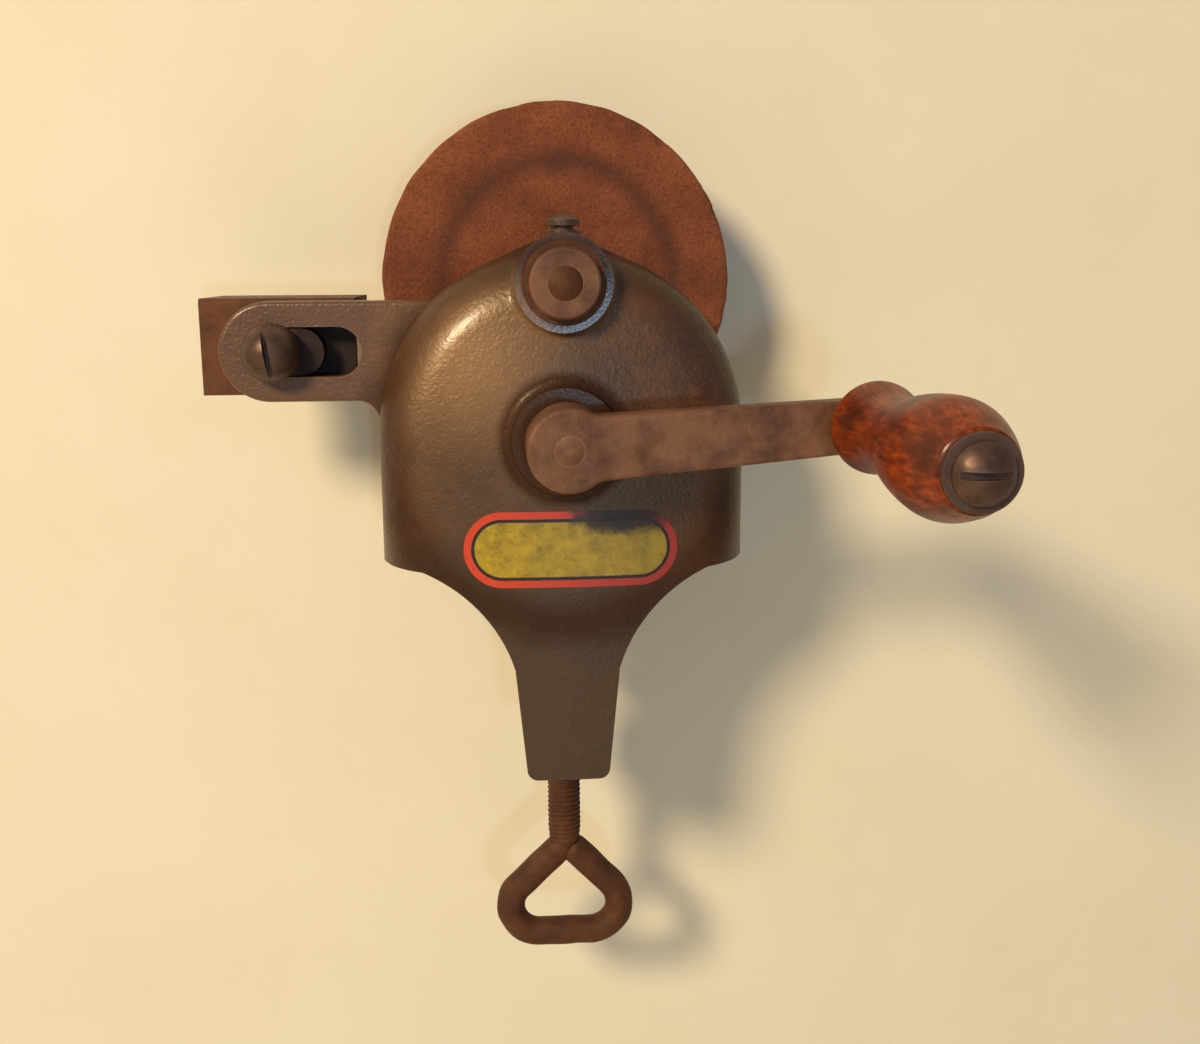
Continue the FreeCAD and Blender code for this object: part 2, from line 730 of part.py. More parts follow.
def back_cover():
    """The plate that closes the case, with a boss for each shaft."""
    body = new_body("back_cover")
    pad(body, outline(body, "XZ_Plane", f"0 - {COVER_BACK}", arch("0", "running_gap")), "cover_thickness")
    disc(body, "0", CRANK_HEIGHT, "(crank_bush_diameter / 2 + cover_boss_wall)",
         REAR_CRANK_BUSH_FRONT, COVER_BACK)
    disc(body, "0", SPINDLE_HEIGHT, "(spindle_pocket_radius - running_gap)",
         f"({COVER_FRONT} - rear_boss_depth)", COVER_BACK)
    disc(body, "0", CRANK_HEIGHT, "(crank_bush_diameter + seat_play) / 2", REAR_CRANK_BUSH_FRONT,
         f"({REAR_CRANK_BUSH_FRONT} + rear_crank_bush_length)", True)
    disc(body, "0", SPINDLE_HEIGHT, "(rear_bush_diameter + seat_play) / 2",
         f"({COVER_FRONT} - rear_boss_depth)", COVER_BACK, True)
    for x, z in SCREW_SPOTS:
        disc(body, x, z, "(cover_screw_diameter / 2 + running_gap)", COVER_FRONT, COVER_BACK, True)


def cover_gasket():
    body = new_body("cover_gasket")
    pad(body, outline(body, "XZ_Plane", f"0 - {COVER_FRONT}", arch("0", "running_gap")), "gasket_thickness")
    disc(body, "0", CRANK_HEIGHT, f"({GEAR_TIP} + gear_well)", "case_back", COVER_FRONT, True)
    disc(body, "0", SPINDLE_HEIGHT, "spindle_pocket_radius", "case_back", COVER_FRONT, True)
    for x, z in SCREW_SPOTS:
        disc(body, x, z, "(cover_screw_diameter / 2 + running_gap)", "case_back", COVER_FRONT, True)


def slotted_screw(radius, head_radius, head_height, length, slot):
    """A screw with a cheese head and a driver slot, its head up along +Z from the origin."""
    head = Part.makeCylinder(head_radius, head_height)
    head = head.makeFillet(head_height / 4, [head.Edges[0]])
    shank = Part.makeCylinder(radius, length, Vector(0, 0, -length))
    cut = Part.makeBox(2 * head_radius + 2, slot, head_height / 2 + 1)
    cut.translate(Vector(-head_radius - 1, -slot / 2, head_height / 2))
    return head.fuse(shank).cut(cut).removeSplitter()


def cover_screws():
    """Four like screws through the back cover and its gasket into the case."""
    screws = []
    for number, (x, z) in enumerate(SCREW_SPOTS):
        screw = slotted_screw(
            value("cover_screw_diameter") / 2, value("cover_screw_head") / 2,
            value("cover_screw_head_height"),
            value(f"cover_screw_length - cover_screw_spare + {COVER_BACK} - case_back"), value("cover_screw_slot"))
        turn_by = Rotation(Vector(0, 0, 1), number * value("cover_screw_turn"))
        screw.Placement = Placement(
            Vector(value(x), value(COVER_BACK), value(z)), Rotation(Vector(1, 0, 0), -90) * turn_by)
        screws.append(screw)
    feature = part_of(doc.addObject("Part::Feature", "cover_screws"), "cover_screws")
    feature.Shape = Part.makeCompound(screws)


def oil_cap():
    """The screwed cap of the oil hole over the front bearing."""
    body = new_body("oil_cap")
    seat = f"({SPINDLE_HEIGHT} + spindle_boss_radius + oil_boss_height)"
    dome = "oil_cap_height / 2"
    sketch = outline(body, "XZ_Plane", None, [
        ("0", f"{seat} - oil_cap_shank"),
        ("oil_hole_diameter / 2", f"{seat} - oil_cap_shank"),
        ("oil_hole_diameter / 2", seat),
        ("oil_neck_diameter / 2", seat),
        ("oil_neck_diameter / 2", f"{seat} + oil_neck_height"),
        ("oil_cap_diameter / 2", f"{seat} + oil_neck_height"),
        ("oil_cap_diameter / 2", f"{seat} + oil_neck_height + {dome}", "left",
         f"((oil_cap_diameter / 2) ^ 2 + ({dome}) ^ 2) / (2 * {dome})"),
        ("0", f"{seat} + oil_neck_height + oil_cap_height"),
    ])
    turn(body, sketch)
    bind(body, Placement__Base__y="0 - oil_cap_back")
    doc.recompute()


def bearings():
    """The four bushes and the ring that locks the front one."""
    turned("rear_spindle_bush", tube(
        "(rear_journal + 2 * bearing_play)", "rear_bush_diameter",
        f"{COVER_FRONT} - rear_boss_depth", REAR_BUSH_BACK), height=SPINDLE_HEIGHT)
    bore = "(front_journal / 2 + bearing_play)"
    face = CAP_FACE
    turned("front_spindle_bush", [
        (bore, face),
        ("bush_cap_diameter / 2 - bush_cap_thickness / 6", face),
        ("bush_cap_diameter / 2", f"{face} + bush_cap_thickness / 6"),
        ("bush_cap_diameter / 2", f"{face} + bush_cap_thickness"),
        ("front_bush_barrel / 2", f"{face} + bush_cap_thickness"),
        ("front_bush_barrel / 2", FRONT_BUSH_BACK),
        (bore, FRONT_BUSH_BACK),
    ], height=SPINDLE_HEIGHT)
    turned("bush_lock_ring", tube(
        "(front_bush_barrel + seat_play)", "lock_ring_diameter",
        "0 - spindle_boss_front - lock_ring_thickness", "0 - spindle_boss_front"), height=SPINDLE_HEIGHT)
    turned("front_crank_bush", tube(
        "(axle_diameter + 2 * bearing_play)", "crank_bush_diameter",
        "0 - crank_boss_front", CRANK_BUSH_BACK), height=CRANK_HEIGHT)
    turned("rear_crank_bush", tube(
        "(axle_diameter + 2 * bearing_play)", "crank_bush_diameter",
        REAR_CRANK_BUSH_FRONT, f"{REAR_CRANK_BUSH_FRONT} + rear_crank_bush_length"), height=CRANK_HEIGHT)


# Gears: involute teeth of one module, the pinion's thick and the wheel's thin by the same shift

def polar(radius, angle, station=0):
    """A point round the Y axis. Angles run from +X towards +Z."""
    return Vector(radius * math.cos(angle), station, radius * math.sin(angle))


def involute_angle(base, radius):
    """How far the involute of a base circle has turned when it reaches a radius."""
    slope = math.sqrt(max((radius / base) ** 2 - 1, 0))
    return slope - math.atan(slope)


def tooth_outline(teeth, shift, first_tooth, station):
    """Closed outline of a spur gear's teeth: flanks as arcs through three points of the involute."""
    module = value("gear_module")
    slant = math.radians(value("pressure_angle"))
    pitch = module * teeth / 2
    base = pitch * math.cos(slant)
    tip = pitch + module * (1 + shift)
    root = pitch - module * (1.25 - shift)
    thickness = module * (math.pi / 2 + 2 * shift * math.tan(slant)) - value("tooth_thinning")
    half = thickness / (2 * pitch) + involute_angle(base, pitch)
    begins = max(base, root)
    radii = (begins, (begins + tip) / 2, tip)
    step = 2 * math.pi / teeth
    edges = []
    for number in range(teeth):
        middle = first_tooth + step * number
        foot = half - involute_angle(base, begins)
        rising = [polar(r, middle - half + involute_angle(base, r), station) for r in radii]
        falling = [polar(r, middle + half - involute_angle(base, r), station) for r in reversed(radii)]
        before, after = polar(root, middle - foot, station), polar(root, middle + foot, station)
        if begins > root:
            edges.append(Part.LineSegment(before, rising[0]).toShape())
        edges.append(Part.Arc(*rising).toShape())
        edges.append(Part.Arc(rising[2], polar(tip, middle, station), falling[0]).toShape())
        edges.append(Part.Arc(*falling).toShape())
        if begins > root:
            edges.append(Part.LineSegment(falling[2], after).toShape())
        valley = polar(root, middle + step / 2, station)
        edges.append(Part.Arc(after, valley, polar(root, middle + step - foot, station)).toShape())
    return Part.Wire(edges)


def toothed(teeth, shift, first_tooth, front, width):
    """A toothed blank along +Y from its front face, on the Y axis."""
    face = Part.Face(tooth_outline(int(teeth), shift, first_tooth, front))
    return face.extrude(Vector(0, width, 0))


def cylinder_y(radius, front, back, x=0, z=0):
    return Part.makeCylinder(radius, back - front, Vector(x, front, z), Vector(0, 1, 0))


def drive_gear():
    """The large gear: rim, thin web with round windows, long hub with a keyway."""
    front = -value("gear_front")
    width = value("gear_width")
    root = value("gear_module * (gear_teeth / 2 - 1.25 - profile_shift)")
    rim = root - value("gear_rim")
    hub = value("gear_hub_diameter") / 2
    recess = value("(gear_width - gear_web) / 2")
    gear = toothed(value("gear_teeth"), -value("profile_shift"), math.pi / 2, front, width)
    for start in (front, front + width - recess):
        hollow = cylinder_y(rim, start, start + recess).cut(cylinder_y(hub, start, start + recess))
        gear = gear.cut(hollow)
    for number in range(int(value("gear_windows"))):
        middle = polar((rim + hub) / 2, 2 * math.pi * number / value("gear_windows"))
        gear = gear.cut(cylinder_y(value("window_diameter") / 2, front, front + width, middle.x, middle.z))
    gear = gear.fuse(cylinder_y(hub, value(GEAR_HUB_FRONT), value(GEAR_HUB_BACK)))
    gear = gear.cut(cylinder_y(value("axle_diameter + seat_play") / 2, value(HUB_BACK), value(COVER_BACK)))
    blank = doc.addObject("Part::Feature", "gear_blank")
    blank.Shape = gear.removeSplitter()
    blank.Placement = Placement(Vector(0, 0, value(CRANK_HEIGHT)), Rotation())
    cut_from("drive_gear", blank, key_space("gear_keyway", "seat_play"))


def key_space(label, play):
    """The key's room, half in the axle and half in the gear's hub, grown by a play."""
    box = doc.addObject("Part::Box", label)
    middle = f"({GEAR_HUB_FRONT} + {GEAR_HUB_BACK}) / 2"
    bind(box, Length=f"key_width + 2 * {play}", Width=f"key_length + 2 * {play}",
         Height=f"key_width + 2 * {play}", Placement__Base__x=f"0 - key_width / 2 - {play}",
         Placement__Base__y=f"{middle} - key_length / 2 - {play}",
         Placement__Base__z=f"{CRANK_HEIGHT} + (axle_diameter - key_width) / 2 - {play}")
    doc.recompute()
    return box


def cut_from(label, base, tool):
    """A sub-part made by cutting one object from another."""
    piece = doc.addObject("Part::Cut", label)
    piece.Base = base
    piece.Tool = tool
    piece.Refine = True
    doc.recompute()
    return part_of(piece, label)


def crank_axle():
    """The axle: riveted over in the crank's hub in front, keyed to the gear, running in two bushes."""
    bend = "((axle_stub / 2) ^ 2 + rivet_head ^ 2) / (2 * rivet_head)"
    blank = turned("axle_blank", [
        ("0", f"{HUB_FACE} - rivet_head", "left", bend),
        ("axle_stub / 2", HUB_FACE),
        ("axle_stub / 2", HUB_BACK),
        ("axle_diameter / 2", HUB_BACK),
        ("axle_diameter / 2", AXLE_BACK),
        ("0", AXLE_BACK),
    ], height=CRANK_HEIGHT)
    subparts.remove(blank)
    cut_from("crank_axle", blank, key_space("axle_keyway", "seat_play"))


def spindle():
    """The wheel spindle with its pinion cut in one piece, a domed front end and a threaded nose."""
    bend = "((front_journal / 2) ^ 2 + spindle_dome ^ 2) / (2 * spindle_dome)"
    shaft = turned("spindle_shaft", [
        ("0", f"{CAP_FACE} - spindle_dome", "left", bend),
        ("front_journal / 2", CAP_FACE),
        ("front_journal / 2", PINION_FRONT),
        ("pinion_core / 2", PINION_FRONT),
        ("pinion_core / 2", f"{PINION_FRONT} + pinion_width"),
        ("rear_journal / 2", f"{PINION_FRONT} + pinion_width"),
        ("rear_journal / 2", INNER_FLANGE_FRONT),
        ("nose_diameter / 2", INNER_FLANGE_FRONT),
        ("nose_diameter / 2", f"{SPINDLE_BACK} - nose_chamfer"),
        ("nose_diameter / 2 - nose_chamfer", SPINDLE_BACK),
        ("0", SPINDLE_BACK),
    ], height=SPINDLE_HEIGHT)
    subparts.remove(shaft)
    teeth = value("pinion_teeth")
    first = -math.pi / 2 + math.pi / teeth
    pinion = doc.addObject("Part::Feature", "pinion")
    pinion.Shape = toothed(teeth, value("profile_shift"), first, value(PINION_FRONT), value("pinion_width"))
    pinion.Placement = Placement(Vector(0, 0, value(SPINDLE_HEIGHT)), Rotation())
    joined = doc.addObject("Part::MultiFuse", "spindle")
    joined.Shapes = [shaft, pinion]
    joined.Refine = True
    doc.recompute()
    part_of(joined, "spindle")


# Wheel and its flanges

def wheel_set():
    """The wheel on its bush, held between two flanges and paper washers by a nut."""
    half = "wheel_diameter / 2"
    turned("grinding_wheel", [
        ("wheel_bore / 2 + seat_play", WHEEL_FRONT),
        (f"{half} - wheel_edge", WHEEL_FRONT),
        (half, f"{WHEEL_FRONT} + wheel_edge"),
        (half, f"{WHEEL_BACK} - wheel_edge"),
        (f"{half} - wheel_edge", WHEEL_BACK),
        ("wheel_bore / 2 + seat_play", WHEEL_BACK),
    ], height=SPINDLE_HEIGHT)
    turned("wheel_bush", tube("(nose_diameter + seat_play)", "wheel_bore", WHEEL_FRONT, WHEEL_BACK),
           height=SPINDLE_HEIGHT)
    for label, front, face in (("inner_flange", INNER_FLANGE_FRONT, 1), ("outer_flange", OUTER_FLANGE_FRONT, 0)):
        back = f"({front} + flange_thickness)"
        wide, slim = (back, front) if face else (front, back)
        turned(label, [
            ("(nose_diameter + seat_play) / 2", slim),
            ("flange_diameter / 2 - flange_taper", slim),
            ("flange_diameter / 2", f"({slim} + {wide}) / 2"),
            ("flange_diameter / 2", wide),
            ("(nose_diameter + seat_play) / 2", wide),
        ], height=SPINDLE_HEIGHT)
    papers = []
    for front in (f"({WHEEL_FRONT} - paper_thickness)", WHEEL_BACK):
        start = value(front)
        papers.append(cylinder_y(value("paper_diameter") / 2, start, start + value("paper_thickness")).cut(
            cylinder_y(value("nose_diameter + seat_play") / 2, start, start + value("paper_thickness"))))
    feature = part_of(doc.addObject("Part::Feature", "paper_washers"), "paper_washers")
    feature.Shape = Part.makeCompound(papers)
    feature.Placement = Placement(Vector(0, 0, value(SPINDLE_HEIGHT)), Rotation())
    hex_nut("wheel_nut", "nut_width", "nut_height", "nose_diameter", NUT_FRONT, "0", SPINDLE_HEIGHT)


# Crank and handle

def crank_arm():
    """The flat crank with its long hub, drawn level and then turned to its resting angle."""
    body = new_body("crank_arm")
    root = "(crank_root_width / 2)"
    tip = "(crank_tip_width / 2)"
    lean = f"(({root} - {tip}) / crank_radius)"
    level = f"sqrt(1 - {lean} ^ 2)"
    half = "(crank_hub_diameter / 2)"
    pad(body, outline(body, "XZ_Plane", f"0 - {ARM_BACK}", [
        (f"{root} * {lean}", f"0 - {root} * {level}"),
        (f"crank_radius + {tip} * {lean}", f"0 - {tip} * {level}", "left", tip),
        (f"crank_radius + {tip}", "0", "left", tip),
        (f"crank_radius + {tip} * {lean}", f"{tip} * {level}"),
        (f"{root} * {lean}", f"{root} * {level}", "left", root),
        (f"0 - {root}", "0", "left", root),
    ]), "crank_thickness")
    disc(body, "0", "0", half, HUB_FACE, HUB_BACK)
    face = value(HUB_FACE)
    middle = value(f"{HUB_FACE} + crank_thickness / 2")
    hub = value(half)
    round_edges(body, lambda spot: abs(spot.y - middle) < 0.01 and 0 < spot.x < hub, "crank_root_fillet")
    round_edges(body, lambda spot: abs(spot.y - face) < 0.01, "crank_edge")
    disc(body, "0", "0", "(axle_stub + seat_play) / 2", HUB_FACE, HUB_BACK, True)
    disc(body, "crank_radius", "0", "(handle_bolt_diameter + seat_play) / 2", HUB_FACE, ARM_BACK, True)
    body.Placement.Rotation = Rotation(Vector(0, -1, 0), value("crank_angle"))
    bind(body, Placement__Base__z=CRANK_HEIGHT)
    doc.recompute()


def handle():
    """The turned wooden grip, loose on its bolt, and the bolt's washer and nut."""
    def bends(drop, run):
        return f"(({run}) ^ 2 + ({drop}) ^ 2) / (2 * ({drop}))"
    first_drop = "(grip_bead_radius - grip_neck_radius)"
    first_run = "(grip_neck_at - grip_bead_at)"
    first_sum = bends(first_drop, first_run)
    share = f"(grip_bead_bend / {first_sum})"
    second_rise = "(grip_belly_radius - grip_neck_radius)"
    second_run = "(grip_belly_at - grip_neck_at)"
    second_sum = bends(second_rise, second_run)
    hollow = f"({second_sum} - grip_belly_bend)"
    part = f"({hollow} / {second_sum})"
    bore = "(handle_bolt_diameter / 2 + bearing_play)"

    def at(station):
        return f"{GRIP_BASE} - ({station})"
    turned("handle_grip", [
        (bore, GRIP_BASE),
        (bore, GRIP_END),
        ("grip_end_radius", GRIP_END, "left",
         bends("grip_belly_radius - grip_end_radius", "grip_length - grip_belly_at")),
        ("grip_belly_radius", at("grip_belly_at"), "left", "grip_belly_bend"),
        (f"grip_neck_radius + {second_rise} * {part}", at(f"grip_neck_at + {second_run} * {part}"),
         "right", hollow),
        ("grip_neck_radius", at("grip_neck_at"), "right", f"({first_sum} - grip_bead_bend)"),
        (f"grip_bead_radius - {first_drop} * {share}", at(f"grip_bead_at + {first_run} * {share}"),
         "left", "grip_bead_bend"),
        ("grip_bead_radius", at("grip_bead_at"), "left",
         bends("grip_bead_radius - grip_base_radius", "grip_bead_at")),
        ("grip_base_radius", GRIP_BASE),
    ], x=HANDLE_X, height=HANDLE_Z)
    washer_back = f"({GRIP_END} - running_gap)"
    washer_front = f"({washer_back} - handle_washer_thickness)"
    turned("handle_washer", tube(
        "(handle_bolt_diameter + seat_play)", "handle_washer_diameter", washer_front, washer_back),
        x=HANDLE_X, height=HANDLE_Z)
    nut_back = f"({ARM_BACK} + handle_nut_height)"
    handle_bolt(washer_front, f"{nut_back} + handle_bolt_beyond_nut")
    hex_nut("handle_nut", "handle_nut_width", "handle_nut_height", "handle_bolt_diameter", ARM_BACK,
            HANDLE_X, HANDLE_Z)


def domed_profile(radius, height, collar, shank, head_back, end):
    """Half section of a domed screw: the dome points to -Y."""
    bend = f"(({radius}) ^ 2 + ({height}) ^ 2) / (2 * ({height}))"
    return [
        ("0", f"{head_back} - {collar} - ({height})", "left", bend),
        (radius, f"{head_back} - {collar}"),
        (radius, head_back),
        (shank, head_back),
        (shank, end),
        ("0", end),
    ]


def driver_slot(body, width, depth, face, reach):
    """A driver's slot across a domed head."""
    pocket(body, outline(body, "XZ_Plane", f"0 - ({face}) - {depth}", [
        (f"0 - {reach}", f"0 - {width} / 2"),
        (reach, f"0 - {width} / 2"),
        (reach, f"{width} / 2"),
        (f"0 - {reach}", f"{width} / 2"),
    ]), f"{depth} + run_out", True)


def handle_bolt(head_back, end):
    """The bolt that the grip turns on: a domed, slotted head and a plain shank."""
    body = turned("handle_bolt", domed_profile(
        "handle_head_diameter / 2", "handle_head_height - handle_head_collar", "handle_head_collar",
        "handle_bolt_diameter / 2", head_back, end), x=HANDLE_X, height=HANDLE_Z)
    driver_slot(body, "handle_head_slot", "handle_head_height / 2", f"{head_back} - handle_head_height",
                "handle_head_diameter")


# Clamp

def clamp_pad():
    """The swivel pad that presses up under the bench top, with a recess for the riveted spigot."""
    body = new_body("clamp_pad")
    turn(body, outline(body, "XZ_Plane", None, [
        ("spigot_diameter / 2 + bearing_play", PAD_BOTTOM),
        ("pad_face_diameter / 2", PAD_BOTTOM),
        ("pad_diameter / 2", f"{PAD_BOTTOM} + pad_thickness / 2"),
        ("pad_diameter / 2", "0 - pad_open"),
        ("pad_recess_diameter / 2", "0 - pad_open"),
        ("pad_recess_diameter / 2", RECESS_FLOOR),
        ("spigot_diameter / 2 + bearing_play", RECESS_FLOOR),
    ]))


def rod(points, bends, radius):
    """A round rod along straight runs, with a tangent arc of its own bend at each inner point."""
    edges = []
    last = points[0]
    for before, corner, after, bend in zip(points, points[1:], points[2:], bends):
        back = (before - corner).normalize()
        ahead = (after - corner).normalize()
        half = back.getAngle(ahead) / 2
        middle_way = (back + ahead).normalize()
        start = corner + back * (bend / math.tan(half))
        finish = corner + ahead * (bend / math.tan(half))
        crown = corner + middle_way * (bend / math.sin(half) - bend)
        edges.append(Part.LineSegment(last, start).toShape())
        edges.append(Part.Arc(start, crown, finish).toShape())
        last = finish
    edges.append(Part.LineSegment(last, points[-1]).toShape())
    section = Part.Wire([Part.Circle(points[0], points[1] - points[0], radius).toShape()])
    return Part.Wire(edges).makePipeShell([section], True, False)


def clamp_screw():
    """The screw, its spigot in the pad, and its tail bent round into a three-cornered loop."""
    thread = value("screw_diameter") / 2
    wire = value("rod_diameter") / 2
    shoulder = value(f"{PAD_BOTTOM} - running_gap")
    head_low = value(f"{RECESS_FLOOR} + running_gap")
    neck = Vector(0, 0, shoulder - value("stem_length"))
    low = neck.z - value("loop_height")
    start = Vector(0, 0, neck.z + value("rod_diameter"))
    left = Vector(-value("loop_left"), 0, low)
    right = Vector(value("loop_right"), 0, low)
    end = Vector(value("loop_end_side"), 0, neck.z - value("loop_end_drop"))
    bar = Vector(0, 0, low)
    bends = (value("neck_bend"), value("loop_bend"))
    screw = Part.makeCylinder(thread, shoulder - start.z, start)
    spigot = Part.makeCylinder(value("spigot_diameter") / 2, head_low - shoulder, Vector(0, 0, shoulder))
    head = Part.makeCylinder(
        value("spigot_head_diameter") / 2, value("spigot_head_thickness"), Vector(0, 0, head_low))
    first = rod([start, neck, left, bar], bends, wire)
    second = rod([end, right, bar], bends[1:], wire)
    second = second.cut(rod([start, neck, left, bar], bends, wire + value("running_gap")).common(
        Part.makeBox(4 * wire, 4 * wire, neck.z - low, Vector(-2 * wire, -2 * wire, low + 2 * wire))))
    feature = part_of(doc.addObject("Part::Feature", "clamp_screw"), "clamp_screw")
    feature.Shape = screw.fuse([spigot, head, first, second]).removeSplitter()


# Tool rest

def tool_rest():
    """An angle piece: a flange behind the arm with a lug in its slot, and a table towards the wheel."""
    body = new_body("tool_rest")
    back = f"({REST_FRONT} + rest_depth)"
    inner = f"({REST_FRONT} + rest_thickness)"
    under = f"({REST_TOP} - rest_thickness)"
    outer_bend = "(rest_bend + rest_thickness)"
    sketch = outline(body, "YZ_Plane", f"0 - {REST_OUTER}", [
        (REST_FRONT, f"{REST_TOP} - rest_flange_height"),
        (inner, f"{REST_TOP} - rest_flange_height"),
        (inner, f"{under} - rest_bend", "right", "rest_bend"),
        (f"{inner} + rest_bend", under),
        (back, under),
        (back, REST_TOP),
        (f"{REST_FRONT} + rest_corner", REST_TOP, "left", "rest_corner"),
        (REST_FRONT, f"{REST_TOP} - rest_corner"),
    ])
    pad(body, sketch, "rest_length")
    lug_height = "(slot_height - 2 * running_gap)"
    lug = slot_loop(LUG_OUTER, f"({LUG_OUTER} - lug_length)", lug_height)
    pad(body, outline(body, "XZ_Plane", f"0 - {REST_FRONT}", lug), f"{REST_FRONT} + rest_arm_front - lug_short")
    disc(body, REST_SCREW_X, REST_ARM_CENTRE, "(rest_screw_diameter + seat_play) / 2",
         "(0 - rest_arm_front)", inner, True)


def rest_fasteners():
    """The screw, washer and nut that hold the rest to its arm."""
    head_back = "(0 - rest_arm_front - running_gap)"
    washer_front = f"({REST_FRONT} + rest_thickness)"
    nut_front = f"({washer_front} + rest_washer_thickness)"
    end = f"({nut_front} + rest_nut_height + rest_screw_beyond_nut)"
    body = turned("rest_screw", domed_profile(
        "rest_head_diameter / 2", "rest_head_dome", "rest_head_collar", "rest_screw_diameter / 2",
        head_back, end), x=REST_SCREW_X, height=REST_ARM_CENTRE)
    driver_slot(body, "rest_head_slot", "rest_head_dome / 2",
                f"{head_back} - rest_head_collar - rest_head_dome", "rest_head_diameter")
    body.Placement.Rotation = Rotation(Vector(0, 1, 0), value("rest_head_turn"))
    turned("rest_washer", tube("(rest_screw_diameter + seat_play)", "rest_washer_diameter",
                               washer_front, nut_front), x=REST_SCREW_X, height=REST_ARM_CENTRE)
    hex_nut("rest_nut", "rest_nut_width", "rest_nut_height", "rest_screw_diameter", nut_front,
            REST_SCREW_X, REST_ARM_CENTRE)


def write_parts():
    """Check every object and every sub-part, then write one file for each sub-part."""
    doc.recompute()
    for thing in doc.Objects:
        if any(word in thing.State for word in ("Invalid", "Error")):
            raise RuntimeError(f"{thing.Label} is {thing.State}")
    os.makedirs("parts", exist_ok=True)
    for thing in subparts:
        shape = thing.Shape
        if shape.isNull() or not shape.isValid() or not shape.Solids:
            raise RuntimeError(f"{thing.Label} has no valid solid")
        box = shape.BoundBox
        print(f"{thing.Label:20s} solids {len(shape.Solids)}  volume {shape.Volume:10.1f}  "
              f"x {box.XMin:7.1f} {box.XMax:7.1f}  y {box.YMin:7.1f} {box.YMax:7.1f}  "
              f"z {box.ZMin:7.1f} {box.ZMax:7.1f}")
        shape.exportStep(os.path.join("parts", thing.Label + ".step"))


gear_case()
back_cover()
cover_gasket()
cover_screws()
oil_cap()
bearings()
drive_gear()
part_of(key_space("gear_key", "0"), "gear_key")
crank_axle()
spindle()
wheel_set()
crank_arm()
turned("thrust_washer", tube("(axle_diameter + seat_play)", "thrust_washer_diameter",
                             HUB_BACK, f"{HUB_BACK} + thrust_washer_thickness"), height=CRANK_HEIGHT)
handle()
clamp_pad()
clamp_screw()
tool_rest()
rest_fasteners()
write_parts()
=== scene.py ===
# %% [markdown]
# # A hand crank bench grinder
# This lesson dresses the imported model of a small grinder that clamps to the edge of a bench. The
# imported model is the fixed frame: it holds every iron, steel and wooden piece at its real place.
# The lesson gives the pieces their old finishes, and it builds finer meshes where the real piece
# has a shape that the frame leaves plain: the gritty wheel, the threaded screw, the turned grip and
# the transfer on the case.

# %% Load the frame
import math

import bmesh
import bpy
from mathutils import Matrix, Vector, noise


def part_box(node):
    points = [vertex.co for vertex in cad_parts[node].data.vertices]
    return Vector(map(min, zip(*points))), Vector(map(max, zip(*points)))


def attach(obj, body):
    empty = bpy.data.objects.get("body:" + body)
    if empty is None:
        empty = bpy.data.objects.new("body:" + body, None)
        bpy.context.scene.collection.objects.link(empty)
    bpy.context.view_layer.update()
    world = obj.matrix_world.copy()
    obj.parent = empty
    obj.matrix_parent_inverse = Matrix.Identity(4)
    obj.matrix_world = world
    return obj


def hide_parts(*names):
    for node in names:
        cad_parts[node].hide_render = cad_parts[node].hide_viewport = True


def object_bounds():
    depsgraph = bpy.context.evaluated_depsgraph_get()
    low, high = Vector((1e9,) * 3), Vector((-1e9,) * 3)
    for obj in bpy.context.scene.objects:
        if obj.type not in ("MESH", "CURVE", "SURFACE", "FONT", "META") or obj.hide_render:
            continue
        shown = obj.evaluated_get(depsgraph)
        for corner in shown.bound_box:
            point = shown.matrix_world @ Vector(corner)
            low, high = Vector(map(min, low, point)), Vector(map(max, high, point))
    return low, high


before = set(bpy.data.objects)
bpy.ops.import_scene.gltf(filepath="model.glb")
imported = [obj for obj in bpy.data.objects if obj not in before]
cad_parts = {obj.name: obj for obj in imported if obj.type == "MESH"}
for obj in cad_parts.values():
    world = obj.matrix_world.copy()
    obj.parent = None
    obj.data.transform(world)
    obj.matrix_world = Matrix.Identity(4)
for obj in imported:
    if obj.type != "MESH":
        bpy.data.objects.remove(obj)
cad_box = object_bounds()
MM = 0.001
print("frame box in mm:", [[round(c / MM, 1) for c in corner] for corner in cad_box])

# %% [markdown]
# ## Stations
# The frame's origin lies on the bench seat, with +Y away from the person at the crank. The few
# stations that several pieces share are read from the boxes of the pieces themselves, so a change
# in the frame carries through to the meshes built here. They are in metres, as the scene is. Sizes
# typed in the cells below are in millimetres, apart from those of the sweep and the lamps.

# %% Shared stations
wheel_low, wheel_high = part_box("grinding_wheel")
SPINDLE_Z = (wheel_low.z + wheel_high.z) / 2
WHEEL_RADIUS = (wheel_high.z - wheel_low.z) / 2
WHEEL_FRONT = wheel_low.y
WHEEL_BACK = wheel_high.y
axle_low, axle_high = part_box("crank_axle")
CRANK_Z = (axle_low.z + axle_high.z) / 2
bolt_low, bolt_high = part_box("handle_bolt")
GRIP_X = (bolt_low.x + bolt_high.x) / 2
GRIP_Z = (bolt_low.z + bolt_high.z) / 2
GRIP_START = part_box("handle_grip")[1].y
print("spindle height", round(SPINDLE_Z / MM, 2), "wheel radius", round(WHEEL_RADIUS / MM, 2))

# %% [markdown]
# ## Building materials from nodes
# Old iron has no single colour, so each finish here is a mix of a few colours steered by noise.
# A tiny helper keeps the node trees short to read: it adds a node, sets its inputs by name and
# links whatever is itself an output of another node.

